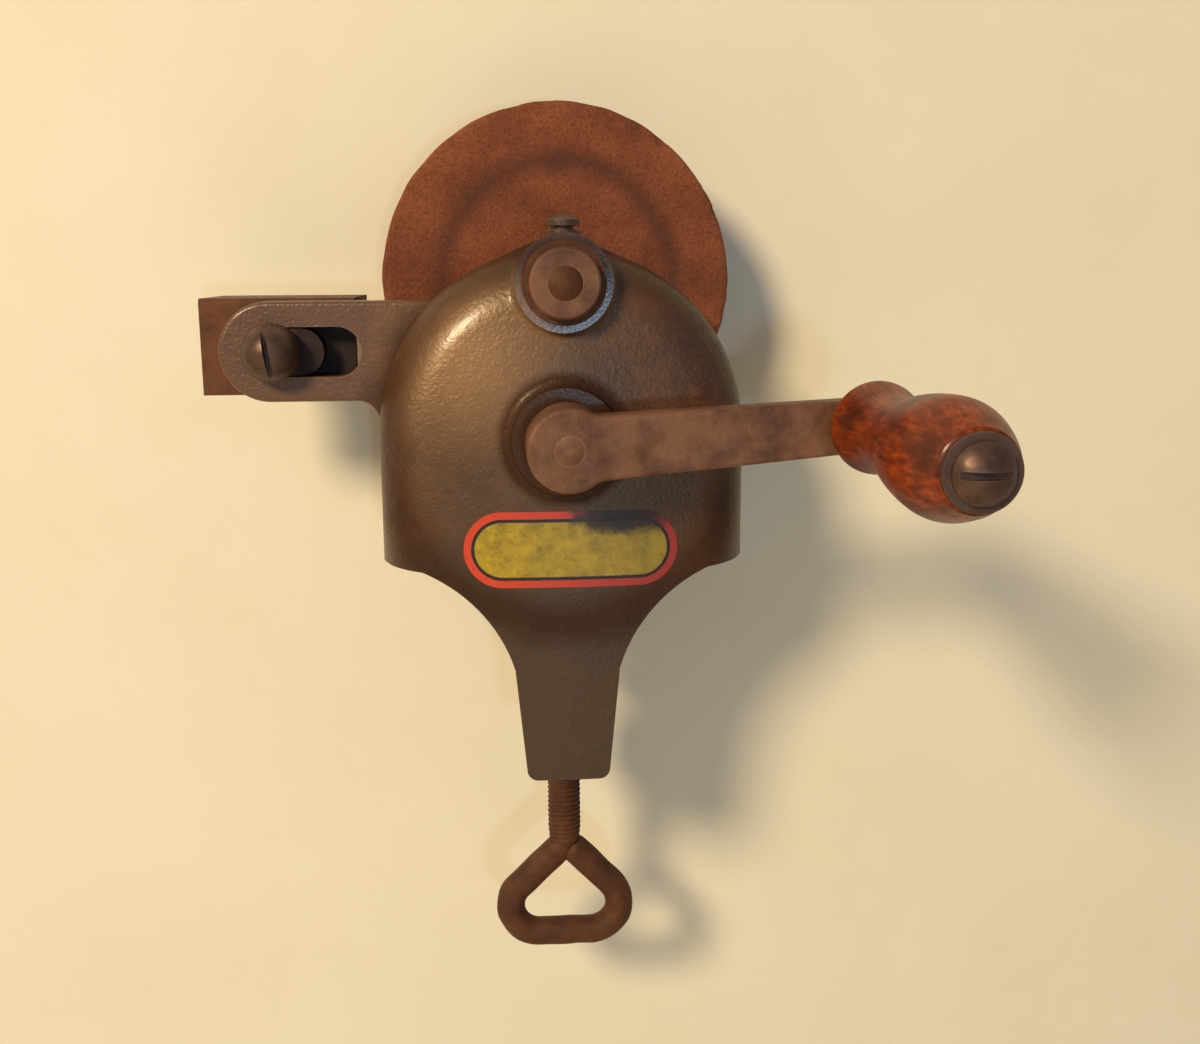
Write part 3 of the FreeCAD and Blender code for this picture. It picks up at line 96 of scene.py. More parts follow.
# %% Node helpers
class Finish:
    """A material under construction. Calls add nodes and return their outputs."""

    def __init__(self, name):
        self.material = bpy.data.materials.new(name)
        self.material.use_nodes = True
        self.tree = self.material.node_tree
        self.shader = self.tree.nodes["Principled BSDF"]
        self.place = self.add("ShaderNodeTexCoord").outputs["Object"]

    def add(self, kind, settings=None, **inputs):
        """A node with its settings and its inputs, where a _ in a name stands for a space."""
        node = self.tree.nodes.new(kind)
        for key, setting in (settings or {}).items():
            setattr(node, key, setting)
        for key, source in inputs.items():
            self.feed(node.inputs[key.replace("_", " ")], source)
        return node

    def feed(self, socket, source):
        """Links an output to the socket, or sets its value."""
        if isinstance(source, bpy.types.NodeSocket):
            self.tree.links.new(source, socket)
        else:
            socket.default_value = source

    def axes(self):
        """The place, taken apart into X, Y and Z."""
        return self.add("ShaderNodeSeparateXYZ", Vector=self.place).outputs

    def noise(self, size_mm, detail, roughness=0.55, place=None, distortion=0.0):
        """Noise whose blobs are about this many millimetres across."""
        node = self.add("ShaderNodeTexNoise", Vector=place or self.place, Scale=1 / (size_mm * MM),
                        Detail=detail, Roughness=roughness, Distortion=distortion)
        return node.outputs["Fac"]

    def wander(self, source, reach_mm):
        """A distance that noise moves by at most this much to either side."""
        return self.math("MULTIPLY_ADD", source, 2 * reach_mm * MM, -reach_mm * MM)

    def ramp(self, source, stops):
        """Colours at positions along a 0 to 1 source."""
        node = self.add("ShaderNodeValToRGB", Fac=source)
        elements = node.color_ramp.elements
        while len(elements) < len(stops):
            elements.new(0.5)
        for element, (position, colour) in zip(elements, stops):
            element.position = position
            element.color = (*colour, 1)
        return node.outputs["Color"]

    def mix(self, share, first, second):
        """Two colours mixed. The node keeps its colours in inputs 6 and 7 and in output 2."""
        node = self.add("ShaderNodeMix", {"data_type": "RGBA"})
        self.feed(node.inputs["Factor"], share)
        for socket, source in ((node.inputs[6], first), (node.inputs[7], second)):
            self.feed(socket, (*source, 1) if isinstance(source, tuple) else source)
        return node.outputs[2]

    def math(self, operation, first, second=0.0, third=0.0):
        """One operation on up to three values."""
        node = self.add("ShaderNodeMath", {"operation": operation})
        for socket, source in zip(node.inputs, (first, second, third)):
            self.feed(socket, source)
        return node.outputs[0]

    def between(self, source, low, high, low_out=0.0, high_out=1.0):
        """A source moved from one range to another, and held inside it."""
        node = self.add("ShaderNodeMapRange", {"clamp": True}, Value=source, From_Min=low, From_Max=high,
                        To_Min=low_out, To_Max=high_out)
        return node.outputs["Result"]

    def bump(self, height, depth_mm, strength, under=None):
        """A relief of this depth, on top of the relief under it."""
        node = self.add("ShaderNodeBump", Height=height, Strength=strength, Distance=depth_mm * MM)
        if under is not None:
            self.feed(node.inputs["Normal"], under)
        return node.outputs["Normal"]

    def worn_edges(self, radius_mm):
        """1 along sharp edges and 0 on open faces."""
        rounded = self.add("ShaderNodeBevel", {"samples": 6}, Radius=radius_mm * MM).outputs["Normal"]
        flat = self.add("ShaderNodeNewGeometry").outputs["Normal"]
        dot = self.add("ShaderNodeVectorMath", {"operation": "DOT_PRODUCT"})
        self.feed(dot.inputs[0], rounded)
        self.feed(dot.inputs[1], flat)
        return self.between(dot.outputs["Value"], 0.99, 0.86)

    def far_from(self, first, second):
        """Distance in a plane, from two coordinates that are zero at the centre."""
        squares = self.math("ADD", self.math("MULTIPLY", first, first),
                            self.math("MULTIPLY", second, second))
        return self.math("POWER", squares, 0.5)

    def from_spot(self, x, z):
        """Distance from a spot in the XZ plane that is given in metres."""
        parts = self.axes()
        return self.far_from(self.math("SUBTRACT", parts["X"], x), self.math("SUBTRACT", parts["Z"], z))

    def off_ring(self, reach, radius_mm):
        """Distance to a ring, to either side of it."""
        return self.math("ABSOLUTE", self.math("SUBTRACT", reach, radius_mm * MM))

    def done(self, colour, roughness, metallic=0.0, normal=None, coat=0.0, coat_roughness=0.1, specular=0.5,
             coat_normal=None, sheen_colour=(1, 1, 1)):
        """Feeds the shader and hands over the material."""
        for key, source in (("Base Color", colour), ("Roughness", roughness), ("Metallic", metallic),
                            ("Coat Weight", coat), ("Coat Roughness", coat_roughness),
                            ("Specular IOR Level", specular), ("Specular Tint", (*sheen_colour, 1))):
            self.feed(self.shader.inputs[key], source)
        for key, source in (("Normal", normal), ("Coat Normal", coat_normal)):
            if source is not None:
                self.feed(self.shader.inputs[key], source)
        return self.material


print("node helpers ready")

# %% [markdown]
# ## Painted cast iron
# The case was cast in sand and painted a dark brown. Sand casting leaves soft lumps of two or three
# millimetres, and the paint over them has turned satin, with rust coming through in clouds. The
# lumps go into the bump, the clouds into the colour, and the worn edges show browner iron. Painted
# shade darkens the round rim of the drum, a ring round the crank's boss and the lower half, and there
# the coat and the sheen are weaker too. A painted highlight makes the upper left golden brown, and
# the arm of the rest is paler.

# %% Case paint
ARM_ROOT = -50
ARM_PALE = -57
# Painted highlight: a golden brown patch at the upper left stands in for the lamp's sheen.
PAINTED_HIGHLIGHT_X = -25
PAINTED_HIGHLIGHT_Z = 64
PAINTED_HIGHLIGHT_REACH = 30
PAINTED_HIGHLIGHT_HEART = 4
# Painted shade: darker over the drum's round rim and in a ring round the crank's boss.
DRUM_RIM = 49
HUB_SHADE_EDGE = 19
HUB_SHADE_HEART = 16.5
# Painted shade: darker from this height down to the bottom.
LOW_SHADE_TOP = 50


def worn_paint_and_highlight(finish, clouds, wander):
    """The paint's colour before its painted shade: clouds, paler arm, rust, bare edges and painted
    highlight.
    """
    paint = finish.ramp(clouds, [(0.3, (0.034, 0.012, 0.005)), (0.5, (0.064, 0.024, 0.010)),
                                 (0.7, (0.112, 0.043, 0.018))])
    arm = finish.between(finish.axes()["X"], ARM_ROOT * MM, ARM_PALE * MM, 0, 0.75)
    paint = finish.mix(arm, paint, (0.085, 0.034, 0.022))
    grain = finish.between(finish.noise(0.8, 4, 0.65), 0.5, 0.78, 0, 0.5)
    speckled = finish.mix(grain, paint, (0.15, 0.075, 0.04))
    rust = finish.between(finish.noise(8, 5, 0.7), 0.56, 0.7, 0, 0.5)
    rusty = finish.mix(rust, speckled, (0.125, 0.04, 0.013))
    edges = finish.math("MULTIPLY", finish.worn_edges(0.9), 0.45)
    bare = finish.mix(edges, rusty, (0.17, 0.076, 0.036))
    # Painted highlight: golden brown towards the upper left.
    reach = finish.math("ADD", finish.from_spot(PAINTED_HIGHLIGHT_X * MM, PAINTED_HIGHLIGHT_Z * MM), wander)
    painted_highlight = finish.between(reach, PAINTED_HIGHLIGHT_REACH * MM, PAINTED_HIGHLIGHT_HEART * MM, 0, 0.6)
    return finish.mix(painted_highlight, bare, (0.30, 0.15, 0.052))


def drum_painted_shade(finish, wander):
    """Share of painted shade on the drum's round rim and round the crank's boss."""
    reach = finish.from_spot(0, CRANK_Z)
    off_rim = finish.off_ring(finish.math("ADD", reach, wander), DRUM_RIM)
    rim_painted_shade = finish.between(off_rim, 9 * MM, 2 * MM, 0, 0.65)
    hub_painted_shade = finish.between(reach, HUB_SHADE_EDGE * MM, HUB_SHADE_HEART * MM, 0, 0.75)
    return finish.math("MAXIMUM", rim_painted_shade, hub_painted_shade)


def case_paint():
    """The whole paint: colour with painted shade and highlight, lumps from the sand, and a satin coat with
    ripples.
    """
    finish = Finish("worn_case_paint_painted_light")
    clouds = finish.noise(24, 4, 0.6)
    wander = finish.wander(clouds, 5)
    painted_shade = drum_painted_shade(finish, wander)
    # Painted shade: darker towards the bottom, joined with the rim and boss shade.
    height = finish.math("ADD", finish.axes()["Z"], wander)
    low_painted_shade = finish.between(height, LOW_SHADE_TOP * MM, 0, 0, 0.85)
    all_painted_shade = finish.math("MAXIMUM", painted_shade, low_painted_shade)
    colour = finish.mix(all_painted_shade, worn_paint_and_highlight(finish, clouds, wander), (0.026, 0.010, 0.006))
    rough = finish.between(finish.noise(5, 4, 0.6), 0.3, 0.7, 0.38, 0.5)
    lumps = finish.bump(finish.noise(2.2, 2, 0.5), 0.3, 0.6)
    fine = finish.noise(0.9, 2, 0.5)
    pebbles = finish.bump(fine, 0.2, 0.9, lumps)
    ripples = finish.bump(fine, 0.06, 0.5)
    # The coat and the specular fade where the rim and boss shade is painted.
    unshaded = finish.math("SUBTRACT", 1, painted_shade)
    return finish.done(colour, rough, normal=pebbles, coat=finish.math("MULTIPLY", unshaded, 0.3),
                       coat_roughness=0.18, specular=finish.math("MULTIPLY", unshaded, 0.7),
                       coat_normal=ripples, sheen_colour=(1.0, 0.8, 0.56))


case_finish = case_paint()
print("made", case_finish.name)

# %% [markdown]
# ## Handled iron, rusty iron and tarnished steel
# The crank and the cap of the front bearing are bare iron polished dull by hands. The rest and the
# clamp screw have a film of rust, and the flange of the rest is painted black as shade behind the
# slot that shows it. The small turned pieces are tarnished steel. They share one recipe, a base with
# patches of a second colour and a fine bump, so one function makes them all from their own colours.

# %% Bare metal
# Painted shade: black on the rest's flange behind the slot of the arm.
SLOT_SHADE_BLACK = (0.010, 0.006, 0.005)
SLOT_SPOT = (-64, 64.8, 10)


def bare_metal(name, base, patch, patch_mm, patch_share, roughness, metallic, grit_mm=0.5, depth_mm=0.06,
               shaded_spot=None):
    """Mottled metal. A shaded spot (x, z, radius) in mm is painted black as shade."""
    finish = Finish(name)
    broad = finish.noise(patch_mm, 5, 0.65)
    colour = finish.mix(finish.between(broad, 0.42, 0.66, 0, patch_share), base, patch)
    dust = finish.between(finish.noise(0.6, 3, 0.7), 0.5, 0.8, 0, 0.5)
    colour = finish.mix(dust, colour, tuple(channel * 0.5 for channel in base))
    edge = finish.math("MULTIPLY", finish.worn_edges(0.5), 0.5)
    colour = finish.mix(edge, colour, tuple(channel * 2.0 for channel in base))
    # Painted shade: the spot is painted black.
    if shaded_spot:
        x, z, radius = shaded_spot
        reach = finish.from_spot(x * MM, z * MM)
        slot_shade = finish.between(reach, (radius + 1.5) * MM, (radius - 1.5) * MM, 0, 0.92)
        colour = finish.mix(slot_shade, colour, SLOT_SHADE_BLACK)
    rough = finish.between(finish.noise(patch_mm * 0.6, 4), 0.3, 0.7, roughness - 0.08, roughness + 0.1)
    dents = finish.bump(finish.noise(grit_mm * 5, 3), depth_mm * 2.5, 0.6)
    normal = finish.bump(finish.noise(grit_mm, 3, 0.6), depth_mm, 0.8, dents)
    return finish.done(colour, rough, metallic, normal, specular=0.3)


crank_finish = bare_metal("handled_iron", (0.180, 0.080, 0.042), (0.070, 0.028, 0.015), patch_mm=11,
                          patch_share=0.9, roughness=0.52, metallic=0.22, grit_mm=0.45, depth_mm=0.1)
rest_finish = bare_metal("rust_filmed_iron", (0.125, 0.042, 0.015), (0.060, 0.022, 0.010), patch_mm=7,
                         patch_share=0.9, roughness=0.68, metallic=0.1, shaded_spot=SLOT_SPOT)
clamp_finish = bare_metal("rusty_screw_iron", (0.064, 0.021, 0.007), (0.115, 0.038, 0.011), patch_mm=6,
                          patch_share=0.8, roughness=0.66, metallic=0.1)
steel_finish = bare_metal("tarnished_steel", (0.1, 0.055, 0.038), (0.055, 0.027, 0.018), patch_mm=4,
                          patch_share=0.8, roughness=0.42, metallic=0.5, grit_mm=0.35, depth_mm=0.03)
gear_finish = bare_metal("oiled_gear_iron", (0.2, 0.18, 0.16), (0.09, 0.07, 0.05), patch_mm=6,
                         patch_share=0.7, roughness=0.35, metallic=0.8, grit_mm=0.3, depth_mm=0.02)
bronze_finish = bare_metal("bearing_bronze", (0.36, 0.21, 0.08), (0.2, 0.1, 0.04), patch_mm=4,
                           patch_share=0.7, roughness=0.38, metallic=0.85, grit_mm=0.3, depth_mm=0.02)
lead_finish = bare_metal("soft_metal", (0.3, 0.3, 0.31), (0.17, 0.165, 0.16), patch_mm=5,
                         patch_share=0.7, roughness=0.5, metallic=0.7, grit_mm=0.4, depth_mm=0.03)
print("made seven bare metals, from", crank_finish.name, "to", lead_finish.name)

# %% [markdown]
# ## Abrasive and card
# The wheel is grit bonded in a red-brown body. Close up it is thousands of grains, so its bump is
# fine and deep and its colour jumps from grain to grain. A darker ring stays where a tool never
# touches. Card washers and the gasket are soaked with oil.

# %% Abrasive and card finishes
DARK_RING = 33.5


def abrasive():
    """Grit in a red-brown body, with a darker ring."""
    finish = Finish("red_brown_abrasive")
    grains = finish.noise(0.55, 3, 0.75)
    patches = finish.noise(14, 5, 0.65)
    body = finish.ramp(patches, [(0.3, (0.145, 0.042, 0.018)), (0.5, (0.215, 0.062, 0.025)),
                                 (0.72, (0.285, 0.086, 0.034))])
    dark_grain = finish.mix(finish.between(grains, 0.5, 0.3, 0, 0.75), body, (0.06, 0.018, 0.013))
    light_grain = finish.mix(finish.between(grains, 0.6, 0.78, 0, 0.7), dark_grain, (0.36, 0.15, 0.08))
    wobble = finish.wander(finish.noise(12, 3), 2)
    reach = finish.math("ADD", finish.from_spot(0, SPINDLE_Z), wobble)
    ring = finish.between(finish.off_ring(reach, DARK_RING), 5 * MM, 0.5 * MM, 0, 0.62)
    colour = finish.mix(ring, light_grain, (0.07, 0.026, 0.02))
    pits = finish.bump(finish.noise(2.2, 4, 0.7), 0.45, 0.8)
    normal = finish.bump(grains, 0.3, 1.0, pits)
    return finish.done(colour, 0.93, normal=normal, specular=0.25)


def oiled_card():
    """Brown fibres, soaked with oil."""
    finish = Finish("oiled_card")
    fibres = finish.noise(1.5, 5, 0.7)
    colour = finish.ramp(fibres, [(0.3, (0.2, 0.14, 0.08)), (0.7, (0.36, 0.27, 0.17))])
    return finish.done(colour, 0.8, normal=finish.bump(fibres, 0.05, 0.6))


abrasive_finish = abrasive()
card_finish = oiled_card()
print("made", abrasive_finish.name, "and", card_finish.name)

# %% [markdown]
# ## Dress the frame's own pieces
# Most pieces of the frame have their true shape, so they only need a finish. A list of names for
# each finish keeps this in one place, and the loop says how many nodes it dressed. The grip isn't
# among them, since the turned grip below takes its place with its own wood.

# %% Assign finishes to the frame
FINISHES = {
    case_finish: ["gear_case", "back_cover"],
    crank_finish: ["crank_arm", "crank_axle", "front_spindle_bush"],
    rest_finish: ["tool_rest"],
    clamp_finish: ["clamp_pad", "clamp_screw", "spindle", "bush_lock_ring"],
    steel_finish: ["cover_screws", "oil_cap", "gear_key", "thrust_washer", "handle_bolt", "handle_washer",
                   "handle_nut", "inner_flange", "outer_flange", "wheel_nut", "rest_screw", "rest_washer",
                   "rest_nut"],
    gear_finish: ["drive_gear"],
    bronze_finish: ["rear_spindle_bush", "front_crank_bush", "rear_crank_bush"],
    lead_finish: ["wheel_bush"],
    abrasive_finish: ["grinding_wheel"],
    card_finish: ["cover_gasket", "paper_washers"],
}
for finish, names in FINISHES.items():
    for name in names:
        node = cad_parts[name]
        node.data.materials.clear()
        node.data.materials.append(finish)
print("dressed", sum(len(names) for names in FINISHES.values()), "nodes")

# %% [markdown]
# ## New meshes
# A lathe makes a shape by turning a profile, and most meshes below are made alike: a list of rings,
# each a function from an angle to a place, with a skin drawn from ring to ring. A piece of the
# grinder then rides on the body that it belongs to, so it moves with the frame's own pieces.

# %% Helpers for new meshes
def new_object(name, mesh_maker, finish):
    """Makes an object with one finish from a function that fills a bmesh."""
    shape = bmesh.new()
    mesh_maker(shape)
    mesh = bpy.data.meshes.new(name)
    shape.to_mesh(mesh)
    shape.free()
    mesh.materials.append(finish)
    made = bpy.data.objects.new(name, mesh)
    bpy.context.collection.objects.link(made)
    return made


def new_piece(name, mesh_maker, finish, body):
    """Makes a smooth object with its faces outwards, which rides on a body."""
    def outward_mesh(shape):
        mesh_maker(shape)
        bmesh.ops.recalc_face_normals(shape, faces=shape.faces)
    piece = new_object(name, outward_mesh, finish)
    piece.data.polygons.foreach_set("use_smooth", [True] * len(piece.data.polygons))
    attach(piece, body)
    return piece


def spin_rings(shape, rings, steps, capped=False):
    """Skins ring functions. The skin is capped at both ends, or joins its last ring to its first."""
    rows = [[shape.verts.new(ring(2 * math.pi * step / steps)) for step in range(steps)] for ring in rings]
    pairs = list(zip(rows, rows[1:]))
    if not capped:
        pairs.append((rows[-1], rows[0]))
    for row, following in pairs:
        for step in range(steps):
            after = (step + 1) % steps
            shape.faces.new((row[step], row[after], following[after], following[step]))
    if capped:
        shape.faces.new(rows[0])
        shape.faces.new(rows[-1])


print("mesh helpers ready")

# %% [markdown]
# ## Turned grip
# The grip is beech or birch turned on a lathe, with a bead at the crank and a long belly. Its
# profile is a few radii along the grip, joined by a smooth curve. The curve runs through each
# radius with the slope between its neighbours.

# %% Grip profile
GRIP_STATIONS = [  # station from the crank in mm, radius in mm
    (0, 9.65), (1.4, 10.9), (4, 11.55), (9, 10.7), (14, 9.7), (19, 9.3), (26, 9.85), (34, 10.8), (42, 12.1),
    (50, 12.95), (58, 13.1), (66, 11.2), (71, 9.4), (73, 8.7),
]
GRIP_LENGTH = GRIP_STATIONS[-1][0]


def smooth_radius(station):
    """Radius of the grip at a station, by a curve through the turned radii."""
    points = GRIP_STATIONS
    index = max(i for i in range(len(points) - 1) if points[i][0] <= station)
    (s0, r0), (s1, r1) = points[index], points[index + 1]
    before = points[max(index - 1, 0)]
    after = points[min(index + 2, len(points) - 1)]
    t = (station - s0) / (s1 - s0)
    slope0 = (r1 - before[1]) / (s1 - before[0]) * (s1 - s0)
    slope1 = (after[1] - r0) / (after[0] - s0) * (s1 - s0)
    return ((2 * t**3 - 3 * t**2 + 1) * r0 + (t**3 - 2 * t**2 + t) * slope0
            + (3 * t**2 - 2 * t**3) * r1 + (t**3 - t**2) * slope1)


print("belly radius", round(max(smooth_radius(s) for s in range(GRIP_LENGTH)), 2), "mm")

# %% [markdown]
# ## Varnished wood
# The grain runs along the grip, so its noise is stretched along Y. It gives the red-brown of the
# varnish its streaks, and broad patches have darkened with age.

# %% Grip wood and mesh
GRAIN_STRETCH = 0.09
GRIP_BORE = 4.05
GRIP_STEP = 0.5
GRIP_SIDES = 72


def varnished_wood():
    """Red-brown streaks along Y with darker patches."""
    finish = Finish("varnished_turned_wood")
    stretch = finish.add("ShaderNodeMapping", Vector=finish.place, Scale=(1, GRAIN_STRETCH, 1))
    grain = finish.noise(1.3, 5, 0.65, stretch.outputs["Vector"], 0.6)
    broad = finish.noise(14, 4, 0.6)
    wood = finish.ramp(grain, [(0.3, (0.070, 0.010, 0.002)), (0.52, (0.190, 0.026, 0.003)),
                               (0.7, (0.340, 0.058, 0.006))])
    aged = finish.mix(finish.between(broad, 0.42, 0.62, 0, 0.8), wood, (0.036, 0.010, 0.005))
    normal = finish.bump(grain, 0.05, 0.35)
    return finish.done(aged, 0.42, normal=normal, coat=0.15, coat_roughness=0.12, specular=0.15)


def grip_shape(shape):
    """The profile and the bore, spun round the bolt."""
    def ring(station, radius):
        def at(angle):
            return Vector((GRIP_X + radius * MM * math.cos(angle), GRIP_START - station * MM,
                           GRIP_Z + radius * MM * math.sin(angle)))
        return at
    stations = [GRIP_STEP * number for number in range(int(GRIP_LENGTH / GRIP_STEP) + 1)]
    outside = [ring(station, smooth_radius(station)) for station in stations]
    bore = [ring(GRIP_LENGTH, GRIP_BORE), ring(0, GRIP_BORE)]
    spin_rings(shape, outside + bore, GRIP_SIDES)


grip = new_piece("turned_grip", grip_shape, varnished_wood(), "grip")
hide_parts("handle_grip")
print("grip has", len(grip.data.vertices), "points")

# %% [markdown]
# ## Gritty wheel
# A worn wheel is never a clean disc. Its faces are lightly pitted, its rim is a little uneven, and
# small bites are missing from the two corners of the rim. Every ring of the mesh starts from the
# true disc and moves only inwards, so the wheel keeps clear of all that it cleared before.

# %% Wheel mesh
WHEEL_STEPS = 300
WHEEL_BORE = 10.1
FACE_START = 12
FACE_STEP = 2.4
FACE_RINGS = 15
RIM_STEP = 2
RIM_RINGS = 9
RIM_GRIT = 0.5
FACE_GRIT = 0.28
FACE_SKIN = 1.5
BITE_LEVEL = 0.18
BITE_DEPTH = 2.6


def grit(place, size_mm, depth_mm):
    """A depth between 0 and depth_mm that wanders over the surface."""
    return depth_mm * (0.5 + 0.5 * noise.noise(place / (size_mm * MM)))


def bites(angle, seed):
    """Depth in mm of the small bites along one corner of the rim."""
    at = Vector((math.cos(angle) * 9, math.sin(angle) * 9, seed))
    return max(0, noise.noise(at) - BITE_LEVEL) * BITE_DEPTH


def wheel_shape(shape):
    """Rings over the front face, round the rim and over the back face."""
    radius = WHEEL_RADIUS / MM
    front, back = WHEEL_FRONT / MM, WHEEL_BACK / MM

    def ring(reach, station, corner=0, seed=0):
        def at(angle):
            way = Vector((math.cos(angle), 0, math.sin(angle)))
            place = (way * reach + Vector((0, station, 0))) * MM
            bite = bites(angle, seed) * corner
            inwards = grit(place, 7, RIM_GRIT) * (reach > radius - 2) + bite
            sunk = grit(place, 5, FACE_GRIT) * (reach < radius - 0.5) + bite * 0.5
            depth = sunk if station < (front + back) / 2 else -sunk
            on_face = min(abs(station - front), abs(station - back)) < FACE_SKIN
            sideways = depth if on_face else 0
            return way * (reach - inwards) * MM + Vector((0, (station + sideways) * MM, SPINDLE_Z))
        return at
    face_reaches = [FACE_START + FACE_STEP * number for number in range(FACE_RINGS)]
    reaches = [WHEEL_BORE] + face_reaches + [radius - 2]
    corner = [(radius - 0.9, 0, 0.8), (radius - 0.25, 0.3, 1.0), (radius, 1.0, 0.7)]
    rings = [ring(reach, front) for reach in reaches]
    rings += [ring(reach, front + step, share, 1) for reach, step, share in corner]
    rings += [ring(radius, front + RIM_STEP * (1 + number)) for number in range(RIM_RINGS)]
    rings += [ring(reach, back - step, share, 7) for reach, step, share in reversed(corner)]
    rings += [ring(reach, back) for reach in reversed(reaches)]
    spin_rings(shape, rings, WHEEL_STEPS)


wheel = new_piece("gritty_wheel", wheel_shape, abrasive_finish, "spindle_group")
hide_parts("grinding_wheel")
print("wheel has", len(wheel.data.vertices), "points")

# %% [markdown]
# ## Clamp screw
# The screw is one rod: a thread for most of its length, then a tail bent by hand into a loop. A
# thread is a ridge that climbs one pitch for each turn, so the radius of its skin depends on height
# and angle together. Above the thread is the slim spigot that turns in the pad, with its riveted end.

# %% Thread
PITCH = 1.5
THREAD_DEPTH = 0.75
THREAD_RADIUS = 5.0
THREAD_TOP = -28.3
THREAD_LOW = -84.0
FADE_AT_TOP = 1.5
FADE_AT_LOW = 4
FADE_SLIMMING = 0.4
RINGS_PER_PITCH = 9
THREAD_SIDES = 48
SPIGOT_RADIUS = 3.5
SPIGOT_TOP = -24.2
RIVET_RADIUS = 4.5
RIVET_TOP = -22.8


def thread_radius(height, angle):
    """Radius of the threaded skin in mm: one rounded ridge per pitch that fades out at both ends."""
    phase = (height / PITCH - angle / (2 * math.pi)) % 1.0
    groove = abs(phase - 0.5) * 2
    groove = groove * groove * (3 - 2 * groove)
    fade = max(0, min(1, (THREAD_TOP - height) / FADE_AT_TOP, (height - THREAD_LOW) / FADE_AT_LOW))
    return THREAD_RADIUS - THREAD_DEPTH * groove * fade - FADE_SLIMMING * (1 - fade)


def thread_shape(shape):
    """Riveted end, spigot and thread, from the top down."""
    def ring(height, radius=None):
        def at(angle):
            spot = Vector((math.cos(angle) * THREAD_RADIUS, math.sin(angle) * THREAD_RADIUS, height))
            reach = (radius or thread_radius(height, angle)) - grit(spot * MM, 1.6, 0.16)
            return Vector((reach * math.cos(angle), reach * math.sin(angle), height)) * MM
        return at
    length = THREAD_TOP - THREAD_LOW
    count = int(length / PITCH * RINGS_PER_PITCH)
    rings = [ring(RIVET_TOP, RIVET_RADIUS - 0.6), ring(RIVET_TOP - 0.5, RIVET_RADIUS)]
    rings += [ring(SPIGOT_TOP, RIVET_RADIUS), ring(SPIGOT_TOP, SPIGOT_RADIUS)]
    rings += [ring(THREAD_TOP, SPIGOT_RADIUS)]
    rings += [ring(THREAD_TOP - length * step / count) for step in range(count + 1)]
    spin_rings(shape, rings, THREAD_SIDES, capped=True)


print("thread of", round((THREAD_TOP - THREAD_LOW) / PITCH), "turns")

# %% [markdown]
# ## Bent tail
# The tail is the same rod, bent into a loop with three corners, whose free end stops against the
# stem. It follows a path of straight runs with an arc at each corner, and its end is rounded off.

# %% Bent loop
WIRE_RADIUS = 4.5
LOOP_CORNERS = [(0, -79), (0, -85.5), (-29.8, -114.6), (28.7, -114.6), (1.5, -86.0)]
LOOP_BENDS = [6, 9, 9]
LOOP_STEP = 0.8
LOOP_SIDES = 28
END_SLIMMING = (0.9, 0.3, 0.05)
ACROSS = Vector((0, 1, 0))


def line(start, end, step):
    """Places along a straight run, without its start."""
    count = max(2, int((end - start).length / step))
    return [start.lerp(end, number / count) for number in range(1, count + 1)]


def rounded_path(corners, bends, step):
    """Places along straight runs in the XZ plane, in mm, with a tangent arc at each inner corner."""
    spots = [Vector((x, 0, z)) for x, z in corners]
    path = [spots[0]]
    for before, corner, after, bend in zip(spots, spots[1:], spots[2:], bends):
        back = (before - corner).normalized()
        ahead = (after - corner).normalized()
        half = back.angle(ahead) / 2
        centre = corner + (back + ahead).normalized() * (bend / math.sin(half))
        first = (corner + back * (bend / math.tan(half)) - centre).normalized()
        last = (corner + ahead * (bend / math.tan(half)) - centre).normalized()
        path += line(path[-1], centre + first * bend, step)
        count = max(4, int(first.angle(last) * bend / step))
        path += [centre + first.slerp(last, number / count) * bend for number in range(1, count + 1)]
    return path + line(path[-1], spots[-1], step)


def loop_ring(spot, side, slimming):
    """One ring of the rod's skin round a spot of its path."""
    def at(angle):
        way = side * math.cos(angle) + ACROSS * math.sin(angle)
        skin = WIRE_RADIUS - slimming - grit((spot + way * WIRE_RADIUS) * MM, 6, 0.5)
        return (spot + way * skin) * MM
    return at


def loop_shape(shape):
    """The rod's skin along the whole path, slimmer at its free end."""
    path = rounded_path(LOOP_CORNERS, LOOP_BENDS, LOOP_STEP)
    last = len(path) - 1
    rings = []
    for number, spot in enumerate(path):
        tangent = (path[min(number + 1, last)] - path[max(number - 1, 0)]).normalized()
        slimming = END_SLIMMING[last - number] if last - number < len(END_SLIMMING) else 0
        rings.append(loop_ring(spot, ACROSS.cross(tangent), slimming))
    spin_rings(shape, rings, LOOP_SIDES, capped=True)


def screw_shape(shape):
    """The whole screw."""
    thread_shape(shape)
    loop_shape(shape)


screw = new_piece("bent_clamp_screw", screw_shape, clamp_finish, "screw")
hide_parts("clamp_screw")
print("screw has", len(screw.data.vertices), "points")

# %% [markdown]
# ## Transfer on the case
# A varnished paper transfer sits on the apron: a long oval with a red border, a thin black line and
# a mottled gold centre, darker at its upper right. It is a sheet that bends with the crown of the
# case, a hair in front of it. The colours come from the distance to the oval's middle line.

# %% Transfer sheet
CROWN_BEND = 220
CASE_FRONT = 33
TRANSFER_X = 1.25
TRANSFER_Z = 13.3
TRANSFER_HALF = 28.6
TRANSFER_RADIUS = 10.3
TRANSFER_LIFT = 0.08
TRANSFER_COLUMNS = 96


def crown(x):
    """Station of the case's crowned front in mm, at a distance to the side of its middle."""
    return CROWN_BEND - CASE_FRONT - math.sqrt(CROWN_BEND ** 2 - x ** 2)


